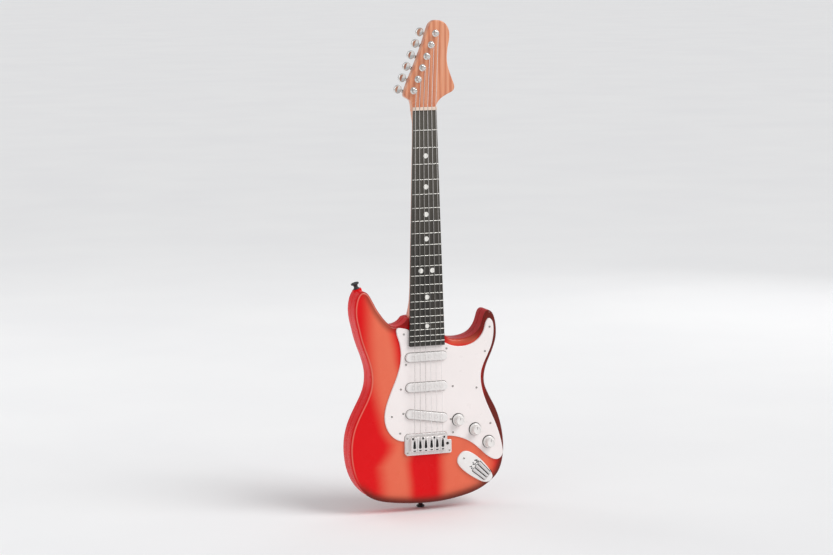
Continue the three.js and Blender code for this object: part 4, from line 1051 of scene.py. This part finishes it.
GUARD_SCREWS = [(-32.9, 122.8), (-38.1, 45.8), (-51.7, 8.3), (-39.9, -16.2), (35.0, -1.2), (38.3, -20.2), (94.1, 125.8), (86.8, 91.8),
                (73.9, 40.8), (94.4, -11.2), (-30.3, 79.8), (-34.9, 11.3), (29.6, 99.3), (38.4, 45.3)]
b = Build()
for x, z in GUARD_SCREWS:
    screw_head(b, x, z, PG_D1 - 0.05, 1.6, 0.55)
place(b.obj("guard_screws"), SCREW_M, "body", angle=40)
b = Build()
screw_head(b, 54.1, -58.4, 41.0, 1.5, 0.5)
place(b.obj("panel_screw"), SCREW_M, "body", angle=40)
for names, pts, tip in (("neck_screw", NECK_SCREWS, 28.0), ("case_screw", CASE_SCREWS, 27.0)):
    for i, (x, z) in enumerate(pts):
        s = Build()
        n = 28
        # the head faces the back of the body, so it is built in mirrored depth
        t = Build()
        screw_head(t, x, z, 0.0, 3.2, 1.35)
        s._add([(px, 3.3 - d, pz) for px, d, pz in t.v], t.f)
        s.lathe([(0, 3.7), (1.5, 3.7), (1.5, tip - 3), (0.4, tip), (0, tip)], (x, 0, z), (0, 1, 0), 14)
        place(s.obj(f"{names}_{i + 1}_head"), STEEL_M, "body", [f"{names}_{i + 1}"], angle=40)

# ------------------------------------------------------------------ bridge
bl = rounded(BRIDGE, [1.2] * 11, 4)
br = Build().prism(bl, [(0.0, 38.0), (0.0, 40.5)] + [(0.7 * (1 - math.cos(a)), 41.2 - 0.7 * (1 - math.sin(a))) for a in np.linspace(0, math.pi / 2, 5)] + [(0.95, 41.2)]).obj("bridge_visual")
blk = Build().prism(rounded([(-26, -43.5), (25.4, -43.5), (25.4, -22.6), (-26, -22.6)], 1.6, 5),
                    [(0.0, 38.5), (0.0, 44.9)] + [(1.2 * (1 - math.cos(a)), 46.1 - 1.2 * (1 - math.sin(a))) for a in np.linspace(0, math.pi / 2, 6)] + [(1.5, 46.1)])
boolean(br, blk, "UNION")
DROP = [(1.15 * math.cos(a), -27.6 + 1.15 * math.sin(a)) for a in np.linspace(0.05, math.pi - 0.05, 9)]
DROP += [(2.05 * math.cos(a), -36.7 + 2.05 * math.sin(a)) for a in np.linspace(math.pi + 0.1, 2 * math.pi - 0.1, 13)]
DROP = np.array(DROP)
cut = Build()
for i in range(6):
    x = (i - 2.5) * SADDLE_PITCH
    # teardrop slot that the string drops into
    drop = DROP + (x, 0)
    cut.prism(drop, [(0, 38.9), (0, 45.7), (-0.25, 46.2), (-0.25, 48)])
boolean(br, cut)
cut = Build()
for i in range(6):
    x = (i - 2.5) * SADDLE_PITCH
    r = 0.85
    cut.skin([np.array([(x + r * math.cos(a), 46.5 + r * math.sin(a), z) for a in np.linspace(0, 2 * math.pi, 12, endpoint=False)]) for z in (-30.0, -20.0)])
boolean(br, cut)
cut = Build().prism(circle(2.1, 28, 29.6, -35.0), [(0, 38.6), (0, 40.9), (-0.3, 41.3), (-0.3, 44)])
cut.box(-24.4, 24.4, -39.4, -29.4, 30, 41.4)
# groove between plate and block along the upper edge, and shallow lines between the saddles
cut.box(-26.4, 25.8, -21.6, -20.9, 40.6, 44)
for i in range(5):
    x = (i - 2) * SADDLE_PITCH
    cut.box(x - 0.33, x + 0.33, -42.6, -23.4, 45.2, 48)
boolean(br, cut)
boolean(br, Build().box(-25.2, 24.6, -40.6, -40.2, 45.75, 48))
# keyed square recesses for the mounting screws
cut = Build()
MARKS = [(-23.2, -24.4), (-8.35, -24.4), (8.35, -24.4), (23.0, -24.4), (-20.9, -41.6), (-12.5, -41.4), (-4.2, -41.6), (4.2, -41.4), (12.5, -41.6), (20.9, -41.4)]
for i, (x, z) in enumerate(MARKS):
    w, h = (1.35, 1.5) if i < 4 else (1.8, 0.75)
    cut.box(x - w, x + w, z - h, z + h, 45.5, 48)
boolean(br, cut)
place(br, BRIDGE_M, "body", ["bridge_plate"], angle=32)
# black linings in the slots, the recesses and the tremolo hole: painted shade for their dark insides
b = Build()
for i in range(6):
    x = (i - 2.5) * SADDLE_PITCH
    lo = offset(ccw(DROP), 0.03) + (x, 0)
    c = lo.mean(0)
    inner = c + (lo - c) * 0.5
    b.skin([np.c_[k[:, 0], np.full(len(k), dd), k[:, 1]] for k, dd in ((lo, 44.9), (lo, 45.62), (inner, 45.2), (inner, 44.5))], ends=False, around=True)
    b.skin([np.c_[inner[:, 0], np.full(len(inner), dd), inner[:, 1]] for dd in (43.6, 44.4)])
for i, (x, z) in enumerate(MARKS):
    w, h = (1.3, 1.45) if i < 4 else (1.75, 0.7)
    b.box(x - w, x + w, z - h, z + h, 45.52, 45.78)
b.prism(circle(2.05, 28, 29.6, -35.0), [(0, 40.2), (0, 40.8)])
place(b.obj("bridge_liners"), HOLE_SHADE_M, "body", angle=40)
b = Build()
for x, z in ((-29.9, -24.0), (-29.9, -44.6), (32.4, -44.9)):
    screw_head(b, x, z, 41.15, 1.35, 0.45)
place(b.obj("bridge_screws"), SCREW_M, "body", angle=40)
anchor = Build().prism(rounded([(-24, -39), (24, -39), (24, -29.8), (-24, -29.8)], 0.8, 3), fillet(38.3, 41.0, 0.3, 0.3, 2)).obj("anchor_visual")
place(anchor, DARK_M, "body", ["string_anchor"], angle=35)

# ------------------------------------------------------------------ control panel and keys
pl = resample(ccw(spline(PANEL, 8)), 1.2)
panel = crowned(Build(), pl, [(0.0, 37.0), (0.0, 39.2)] + [(1.3 * (1 - math.cos(a)), 40.5 - 1.3 * (1 - math.sin(a))) for a in np.linspace(0, math.pi / 2, 7)],
                lambda t: 41.0 - 0.5 * (1 - np.minimum(t / 9.0, 1)) ** 2, 2.6).obj("panel_visual")
CA, SA = math.cos(KEY_ANGLE), math.sin(KEY_ANGLE)


def key_shape(j, grow=0.0):
    """Finger key: wide at the upper end, narrowing towards the pointed end of the panel."""
    y0, y1, w0, w1 = 6.1 * j, 4.9 * j, 2.3 + grow, 1.75 + grow
    x0, x1 = -12.5, 12.5
    pts = [(x0 + w0 + w0 * math.cos(a) - grow, y0 + w0 * math.sin(a)) for a in np.linspace(math.pi / 2, 3 * math.pi / 2, 13)]
    pts += [(x1 - w1 + w1 * math.cos(a) + grow, y1 + w1 * math.sin(a)) for a in np.linspace(-math.pi / 2, math.pi / 2, 13)]
    return turn(np.array(pts), KEY_ANGLE, *KEY_C)


cut = Build()
for j in (-1, 0, 1):
    cut.prism(key_shape(j, 0.62), [(0, 30), (0, 40.6), (-0.15, 41.3), (-0.15, 45)])
boolean(panel, cut)
place(panel, PANEL_M, "body", ["control_panel"], angle=32)
marks = Build()
# plain printed bars and dots beside the upper end of each key
for j, rows in ((-1, [(-14.6, -0.9, 0.9, 1.7), (-16.6, 0.7, 1.1, 1.1), (-17.9, -0.9, 0.8, 0.8)]),
                (0, [(-14.7, 0.9, 0.9, 1.9), (-16.5, -0.8, 1.2, 1.5), (-18.4, 0.6, 0.8, 0.9)]),
                (1, [(-14.4, -0.8, 1.0, 2.0), (-16.4, 0.8, 1.3, 1.8), (-18.2, -0.7, 1.0, 1.4), (-13.9, 1.5, 0.6, 0.7)])):
    for s, t, w, h in rows:
        c = turn(np.array([[s, 5.6 * j + t]]), KEY_ANGLE, *KEY_C)[0]
        marks.prism(turn(rounded(rect(w + 0.75, h + 0.75), 0.4, 4), KEY_ANGLE, *c), [(0, 40.6), (0, 40.98), (0.1, 41.03), (0.25, 41.03)])
# two dark lines along the outer edges of the key row: painted shade of the gaps between the keys and the panel
for j, w in ((-1.42, 0.24), (1.42, 0.24)):
    q = [(-11.5, 6.5 * j), (10.6, 5.3 * j)]
    up = [(s, t + w) for s, t in q]
    dn = [(s, t - w) for s, t in reversed(q)]
    marks.prism(ccw(turn(np.array(up + dn), KEY_ANGLE, *KEY_C)), [(0, 40.45), (0, 40.98), (0.05, 41.02), (0.1, 41.02)])
place(marks.obj("panel_marks"), INK_AND_SHADE_M, "body", angle=40)
for i, j in enumerate((-1, 0, 1)):
    body_name = f"key_{i + 1}"
    k = crowned(Build(), resample(ccw(key_shape(j)), 0.7), [(0.0, 36.4), (0.0, 41.9)] + [(0.9 * (1 - math.cos(a)), 42.55 - 0.9 * (1 - math.sin(a))) for a in np.linspace(0, math.pi / 2, 6)],
                lambda t: 43.0 - 0.45 * (1 - np.minimum(t / 1.3, 1)) ** 2, 0.8).obj(f"finger_key_{i + 1}")
    c = turn(np.array([[0.0, 6.1 * j]]), KEY_ANGLE, *KEY_C)[0]
    foot = Build().lathe([(0, 33.4), (1.6, 33.4), (1.6, 36.6), (0, 36.6)], (c[0], 0, c[1]), (0, 1, 0), 20)
    boolean(k, foot, "UNION")
    cut = Build()
    for g in (-9.6, -8.0):
        q = turn(np.array([[g, 6.1 * j - 0.02 * g * j]]), KEY_ANGLE, *KEY_C)[0]
        cut.prism(turn(rounded(rect(0.45, 2.6), 0.2, 3), KEY_ANGLE, *q), [(0, 42.62), (0, 44)])
    boolean(k, cut)
    place(k, KEY_M, body_name, [f"key_{i + 1}"], angle=32)

# ------------------------------------------------------------------ knobs
for i, (x, z) in enumerate(KNOBS):
    flute = lambda ri, a: (-0.05 * (0.5 - 0.5 * math.cos(24 * a)) ** 2 if 9 <= ri <= 13 else 0.0)
    profile = [(0, 27.5), (2.2, 27.5), (2.2, 40.25), (8.2, 40.25), (8.5, 40.4), (8.55, 40.6), (8.3, 40.85), (7.6, 41.05), (7.0, 41.5),
               (6.75, 42.3), (6.6, 43.4), (6.4, 46.0), (6.2, 48.3), (6.1, 48.9), (5.9, 49.45), (5.5, 49.85), (5.1, 50.0), (4.6, 49.9),
               (4.2, 49.62), (3.0, 49.5), (0, 49.45)]
    k = Build().lathe(profile, (x, 0, z), (0, 1, 0), 96, wobble=flute).obj(f"knob_cap_{i + 1}")
    cut = Build()
    cut.box(x - 0.3, x + 0.3, z + 1.2, z + 5.6, 49.2, 52)
    boolean(k, cut)
    place(k, KNOB_M, f"knob_{i + 1}", [f"knob_{i + 1}"], angle=40)
    ptr = Build().box(x - 0.26, x + 0.26, z + 1.25, z + 5.5, 49.1, 49.62).obj(f"knob_pointer_{i + 1}")
    place(ptr, INK_AND_SHADE_M, f"knob_{i + 1}", angle=40, bevel=0.08)

# ------------------------------------------------------------------ strings
for i, (px, pz) in enumerate(POSTS):
    r, xn, xb = STRING_R[i], (i - 2.5) * NUT_PITCH, (i - 2.5) * SADDLE_PITCH
    lr = 2.3 + r
    turns = 1.9 if i < 3 else 2.4
    pts = [(px + 0.6, 44.1 + turns * 2 * r + 0.02, pz)]
    steps = int(26 * turns)
    a_end = 0.0
    # the string leaves the post on its treble side and runs down to the nut
    for k in range(steps + 1):
        a = turns * 2 * math.pi * (1 - k / steps) + a_end
        pts.append((px + lr * math.cos(a), 44.1 + (a - a_end) / (2 * math.pi) * 2.04 * r, pz + lr * math.sin(a)))
    last = pts[-1]
    top = (xn, 45.9, BOARD_Z1 + 5.0)
    for f in (0.3, 0.6, 0.9):
        pts.append(tuple(last[q] + (top[q] - last[q]) * f for q in range(3)))
    pts += [(xn, 45.92, BOARD_Z1 + 4.4), (xn, 45.93, BOARD_Z1 + 1.0), (xn, 45.9, BOARD_Z1 - 1.0)]
    end = (xb, 46.6, -23.5)
    for f in np.linspace(0.02, 0.99, 24):
        start = (xn, 45.9, BOARD_Z1 - 1.0)
        pts.append(tuple(start[q] + (end[q] - start[q]) * f for q in range(3)))
    pts += [(xb, 46.6, -24.0), (xb, 46.55, -25.4), (xb, 46.3, -26.8), (xb, 45.6, -28.0), (xb, 43.9, -29.6), (xb, 42.2, -32.6), (xb, 41.4, -34.2)]
    s = Build().tube(pts, 0.86 * r, 10)
    s.lathe([(0, 40.95), (1.25, 40.95), (1.35, 41.3), (1.25, 42.1), (0.9, 42.4), (0, 42.4)], (xb, 0, -34.8), (0, 1, 0), 20)
    place(s.obj(f"guitar_string_{i + 1}"), WOUND if i < 3 else PLAIN_STR, "body", [f"string_{i + 1}"], angle=60)

# ------------------------------------------------------------------ tuners
def along(i, t, s):
    return (POSTS[i][0] + TX * t + SX * s, POSTS[i][1] + TZ * t + SZ * s)


WORM_T, SHAFT_D = -5.3, 22.4
strip = lambda t0, t1, s0, s1, i=0: [along(i, t0, s0), along(i, t1, s0), along(i, t1, s1), along(i, t0, s1)]
tp = Build().prism(rounded(strip(-9.2, 5 * PL + 6.5, -6.5, 9.6), 1.2, 4), fillet(26.2, 27.7, 0.45, 0.2, 3)).obj("tuner_plate_visual")
lugs = Build()
for i in range(6):
    lugs.prism(rounded(strip(WORM_T - 2.6, WORM_T + 2.6, 7.2, 9.4, i), 0.35, 2), fillet(19.6, 27.0, 0.8, 0, 3))
    lugs.prism(rounded(strip(WORM_T - 2.6, WORM_T + 2.6, -6, -4.4, i), 0.35, 2), fillet(19.6, 27.0, 0.8, 0, 3))
boolean(tp, lugs, "UNION")
cut = Build()
for i, (x, z) in enumerate(POSTS):
    cut.prism(circle(3.0, 24, x, z), [(0, 15), (0, 40)])
    c = along(i, WORM_T, 2)
    cut.lathe([(0, -15), (1.75, -15), (1.75, 15), (0, 15)], (c[0], SHAFT_D, c[1]), (SX, 0, SZ), 16)
boolean(tp, cut)
place(tp, CHROME, "body", ["tuner_plate"], angle=35)
b = Build()
for i in range(5):
    c = along(i, PL / 2 + 1.2, 6.6)
    t = Build()
    screw_head(t, c[0], c[1], 0.0, 1.5, 0.6)
    b._add([(px, 26.25 - d, pz) for px, d, pz in t.v], t.f)
for c in (along(5, 4.2, 6.8), along(5, 4.2, -4.0)):
    t = Build()
    screw_head(t, c[0], c[1], 0.0, 1.5, 0.6)
    b._add([(px, 26.25 - d, pz) for px, d, pz in t.v], t.f)
place(b.obj("tuner_plate_screws"), SCREW_M, "body", angle=40)
b = Build()
for x, z in POSTS:
    hexr = [(5.0, 39.5), (5.0, 40.0), (4.85, 40.25), (4.5, 40.35), (3.5, 40.4), (3.3, 41.0), (3.05, 41.1), (2.85, 41.0), (2.85, 39.5), (5.0, 39.5)]
    b.lathe(hexr, (x, 0, z), (0, 1, 0), 40)
place(b.obj("post_bushings"), CHROME, "body", angle=35)
for i, (x, z) in enumerate(POSTS):
    pr = [(0, 20.2), (1.2, 20.25), (2.8, 20.2), (3.1, 20.5), (3.1, 24.3), (2.9, 24.6), (2.6, 24.8), (2.6, 42.6), (2.45, 42.95), (2.25, 43.3), (2.2, 43.9),
          (2.2, 45.6), (2.3, 46.0), (2.62, 46.35), (2.72, 46.7), (2.7, 47.6), (2.5, 48.0), (2.1, 48.2), (0, 48.2)]
    teeth = lambda ri, a: (-0.09 * (0.5 - 0.5 * math.cos(14 * a)) if 2 <= ri <= 5 else 0.0)
    p = Build().lathe(pr, (x, 0, z), (0, 1, 0), 56, wobble=teeth).obj(f"string_post_{i + 1}")
    cut = Build()
    q = turn(rounded(rect(1.1, 8.0), 0.3, 2), math.radians(-67 + 90 + 0), x, z)
    cut.prism(q, [(0, 46.9), (0, 50)])
    boolean(p, cut)
    place(p, CHROME, f"tuner_post_{i + 1}", [f"tuner_post_{i + 1}"], angle=35)
    c = along(i, WORM_T, 0)
    ax = (SX, 0, SZ)
    worm = [(0, -6.6), (1.4, -6.6), (1.4, -4.0), (1.7, -3.8)]
    worm += [(1.8 - 0.3 * (k % 2), -3.6 + 0.6 * k) for k in range(13)] + [(1.4, 4.0), (1.4, 9.7), (2.3, 9.75), (2.4, 10.1), (2.0, 11.3), (1.5, 11.6), (1.4, 13.0), (1.4, 14), (0, 14)]
    t = Build().lathe(worm, (c[0], SHAFT_D, c[1]), ax, 20).obj(f"tuner_key_{i + 1}")
    bc = along(i, WORM_T, 16.5)
    rings = []
    A, Bz = 5.0, 6.3
    oval = lambda k, hh: [(A * k * math.cos(a), Bz * k * math.sin(a), hh) for a in np.linspace(0, 2 * math.pi, 40, endpoint=False)]
    lens = [(0.02, -2.2), (0.4, -2.3), (0.72, -2.6), (0.88, -2.85), (0.95, -2.8), (0.985, -2.4), (1.0, -1.5), (1.0, 1.5), (0.985, 2.4), (0.95, 2.8), (0.88, 2.85), (0.72, 2.6), (0.4, 2.3), (0.02, 2.2)]
    for kk, hh in lens:
        ring = []
        for u, w, h in oval(kk, hh):
            ring.append((bc[0] + SX * u + TX * w, SHAFT_D + h, bc[1] + SZ * u + TZ * w))
        rings.append(np.array(ring))
    boolean(t, Build().skin(rings), "UNION")
    place(t, CHROME, f"tuner_button_{i + 1}", [f"tuner_button_{i + 1}"], angle=35)

# ------------------------------------------------------------------ strap buttons
sp = [(0, 0), (4.4, 0), (4.6, 0.25), (4.3, 0.9), (3.3, 1.6), (2.95, 2.3), (2.9, 3.4), (2.95, 4.6), (3.4, 5.5), (4.6, 6.3), (5.6, 6.9), (5.8, 7.3),
      (5.8, 8.0), (5.5, 8.5), (4.8, 8.9), (4.2, 9.0), (2.6, 8.9), (2.3, 8.5), (1.4, 8.3), (0, 8.3)]
for nm, at, v in (("tail", (0, 8.6, -120.5), (0, 0, -1)), ("horn", (-90.4 - 0.33, 8.6, 184.6 + 1.05), HORN_V)):
    s = Build().lathe(sp, at, v, 48).obj(f"strap_peg_{nm}")
    place(s, DARK_M, "body", [f"strap_button_{nm}"], angle=40)

# ------------------------------------------------------------------ battery door
BX = (DOOR_X0 + DOOR_X1) / 2
DZ0 = DOOR_Z0 + 1.15
sect = [(1.15 - 1.15 * math.cos(t), DZ0 - 1.15 * math.sin(t)) for t in np.linspace(0, math.pi, 13)]
sect += [(2.3, DZ0 + 4.0), (2.3, DOOR_Z1 - 3.0), (2.3, DOOR_Z1 - 0.25), (2.05, DOOR_Z1), (0.45, DOOR_Z1), (0.13, DOOR_Z1 - 0.13), (0.0, DOOR_Z1 - 0.45),
         (0.0, DOOR_Z1 - 3.0), (0.0, DZ0 + 4.0)]
mid = np.array([1.15, (DZ0 + DOOR_Z1) / 2])
rings = []
for x, k in ((DOOR_X0, 0.35), (DOOR_X0 + 0.12, 0.1), (DOOR_X0 + 0.4, 0.0), (DOOR_X0 + 3, 0.0), (DOOR_X1 - 3, 0.0), (DOOR_X1 - 0.4, 0.0), (DOOR_X1 - 0.12, 0.1), (DOOR_X1, 0.35)):
    rings.append(np.array([(x, mid[0] + (p - mid[0]) * (1 - k / 1.15), mid[1] + (q - mid[1]) * (1 - k / 30)) for p, q in sect]))
dr = Build().skin(rings).obj("battery_door_visual")
boolean(dr, Build().lathe([(0, -23.9), (0.6, -23.9), (0.6, 23.9), (0, 23.9)], (BX, 1.15, DZ0), (1, 0, 0), 20), "UNION")
boolean(dr, Build().lathe([(0, 1.2), (4.2, 1.2), (4.2, 4.2), (4.0, 4.4), (0, 4.4)], (BX, 0, -31.2), (0, 1, 0), 32), "UNION")
cut = Build().lathe([(0, -1), (3.5, -1), (3.1, 0.3), (3.1, 1.9), (0, 1.9)], (BX, 0, -31.2), (0, 1, 0), 32)
for k in range(5):
    z = -41.6 - k * 2.2
    w = 9 - abs(k - 2) * 0.0
    cut.prism(stadium(2 * w, 1.0, 5) + (BX, z), [(0, -1), (0, 0.0), (0.0, 0.5)])
# arrow that points to the edge the door opens from
cut.prism(np.array([(BX - 3.0, -55.6), (BX, -58.6), (BX + 3.0, -55.6)]), [(0, -1), (0, 0.35)])
boolean(dr, cut)
boolean(dr, Build().lathe([(0, -1), (1.7, -1), (1.7, 6), (0, 6)], (BX, 0, -31.2), (0, 1, 0), 24))
place(dr, RED, "battery_door", ["battery_door"], angle=32)
s = Build()
t = Build()
screw_head(t, BX, -31.2, 0.0, 2.7, 1.1)
s._add([(px, 1.55 - d, pz) for px, d, pz in t.v], t.f)
s.lathe([(0, 1.9), (1.35, 1.9), (1.35, 5.2), (1.0, 5.6), (0, 5.6)], (BX, 0, -31.2), (0, 1, 0), 20)
place(s.obj("door_screw_visual"), STEEL_M, "battery_door", ["battery_door_screw"], angle=40)

# ------------------------------------------------------------------ inner pieces
cells = []
for i, j in enumerate((-1, 0, 1)):
    up = 1 if i % 2 == 0 else -1
    pr = [(0, -24.4), (5.2, -24.4), (5.4, -24.15), (6.5, -24.1), (7.0, -23.7), (7.0, 22.6), (6.7, 23.15), (6.0, 23.3), (2.8, 23.4), (2.7, 24.8), (2.5, 25.0), (0, 25.0)]
    c = Build().lathe(pr, (BX + j * 15.2, 11.2, -60.4), (0, 0, up), 40).obj(f"cell_{i + 1}")
    place(c, CELL_M, "body", [f"battery_{i + 1}"], angle=35)
sp = [(0, 7.4), (3, 7.5), (6, 7.9), (8, 8.4), (9.2, 8.3), (15, 6.6), (21.4, 5.0), (22.2, 4.5), (22.9, 4.1), (23.6, 4.3), (24.2, 3.9), (24.8, 3.3), (28.4, 3.3), (28.6, 3.5),
      (28.6, 5.2), (28.4, 5.4), (26, 5.8), (15.6, 14), (15.5, 20.8), (15.3, 21), (0, 21)]
s = Build().lathe(sp, (SPEAKER_C[0], 0, SPEAKER_C[1]), (0, 1, 0), 64).obj("speaker_visual")
place(s, CONE, "body", ["speaker"], angle=35)

for node, m, w in (("battery_box", DARK_M, 0.35), ("battery_contact_lower", STEEL_M, 0.12), ("battery_contact_upper", STEEL_M, 0.12),
                   ("pot_board", CIRCUIT, 0.25), ("key_board", CIRCUIT, 0.25), ("main_board", CIRCUIT, 0.25)):
    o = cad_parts[node]
    o.data.materials.clear()
    o.data.materials.append(m)
    wl = o.modifiers.new("weld", "WELD")
    wl.merge_threshold = 1e-6
    bv = o.modifiers.new("bevel", "BEVEL")
    bv.width, bv.segments, bv.limit_method, bv.angle_limit = w / 1000, 2, "ANGLE", math.radians(35)

# ------------------------------------------------------------------ camera, floor and light
AZ, EL, ROLL, DIST, FPX, TGX, TGZ = -19.390, 7.765, -0.584, 3500.0, 2527.531, -10.047, 199.657
a, e = math.radians(AZ), math.radians(EL)
dirv = Vector((-math.sin(a) * math.cos(e), math.cos(a) * math.cos(e), -math.sin(e)))
target = Vector((TGX / 1000, -0.030, TGZ / 1000))
cam_data = bpy.data.cameras.new("camera")
cam = bpy.data.objects.new("camera", cam_data)
bpy.context.scene.collection.objects.link(cam)
right = dirv.cross(Vector((0, 0, 1))).normalized()
upv = right.cross(dirv)
c, s = math.cos(math.radians(ROLL)), math.sin(math.radians(ROLL))
r2, u2 = c * right + s * upv, -s * right + c * upv
m = Matrix((r2, u2, -dirv)).transposed().to_4x4()
m.translation = target - dirv * DIST / 1000
cam.matrix_world = m
cam_data.sensor_fit = "HORIZONTAL"
cam_data.sensor_width = 36.0
cam_data.lens = FPX / 833 * 36.0
cam_data.clip_start, cam_data.clip_end = 0.05, 160
bpy.context.scene.camera = cam

FLOOR_Z = CAD_BOX[0].z - 0.0006
fm = bpy.data.meshes.new("floor")
n, half = 16, 60.0
g = np.linspace(-half, half, n + 1)
vv = [(x, y, FLOOR_Z) for y in g for x in g]
ff = [(r * (n + 1) + q, r * (n + 1) + q + 1, (r + 1) * (n + 1) + q + 1, (r + 1) * (n + 1) + q) for r in range(n) for q in range(n)]
fm.from_pydata(vv, [], ff)
floor = bpy.data.objects.new("floor", fm)
bpy.context.scene.collection.objects.link(floor)
m, nt, bs, tc = new_mat("floor_pale")
v = mapping(nt, tc)
nt.links.new(ramp(nt, noise(nt, v, 3.0, 3.0), [(0.3, (0.86, 0.86, 0.865)), (0.7, (0.885, 0.885, 0.885))]), bs.inputs["Base Color"])
nt.links.new(remap(nt, noise(nt, v, 40.0, 3.0), 0.3, 0.7, 0.75, 0.85), bs.inputs["Roughness"])
bs.inputs["Specular IOR Level"].default_value = 0.15
fm.materials.append(m)

WORLD = 0.52
world = bpy.data.worlds.new("world")
bpy.context.scene.world = world
world.use_nodes = True
bg = world.node_tree.nodes["Background"]
bg.inputs["Color"].default_value = (0.98, 0.985, 1.0, 1.0)
wn = world.node_tree
lp = wn.nodes.new("ShaderNodeLightPath")
st = wn.nodes.new("ShaderNodeMapRange")
st.inputs[3].default_value, st.inputs[4].default_value = WORLD, 0.90
wn.links.new(lp.outputs["Is Camera Ray"], st.inputs[0])
wn.links.new(st.outputs[0], bg.inputs["Strength"])


def area(name, loc, aim, size, size_y, energy, color=(1, 1, 1)):
    d = bpy.data.lights.new(name, "AREA")
    d.shape, d.size, d.size_y, d.energy, d.color = "RECTANGLE", size, size_y, energy, color
    o = bpy.data.objects.new(name, d)
    bpy.context.scene.collection.objects.link(o)
    o.location = loc
    o.rotation_euler = (Vector(aim) - Vector(loc)).to_track_quat("-Z", "Y").to_euler()
    o.visible_camera = False
    return o


sun = bpy.data.lights.new("sun", "SUN")
sun.energy, sun.angle = 1.60, math.radians(35)
so = bpy.data.objects.new("sun", sun)
bpy.context.scene.collection.objects.link(so)
so.rotation_euler = Vector((-0.60, 0.62, -0.85)).to_track_quat("-Z", "Y").to_euler()
area("key", (2.1, -2.4, 1.9), (0, 0, 0.15), 1.3, 1.3, 8)
area("fill", (-2.2, -2.2, 1.8), (0, 0, 0.15), 1.3, 1.5, 2)
area("rim_left", (-1.7, -0.75, 0.35), (0, 0, 0.1), 0.16, 1.7, 2.2)
area("back_left", (-1.4, 1.7, 1.4), (0, 0, 0.15), 1.2, 1.2, 7)
area("back_right", (1.6, 1.5, 0.9), (0, 0, 0.15), 1.0, 1.2, 4)

bpy.context.scene.view_settings.view_transform = "Standard"
bpy.context.scene.view_settings.look = "None"
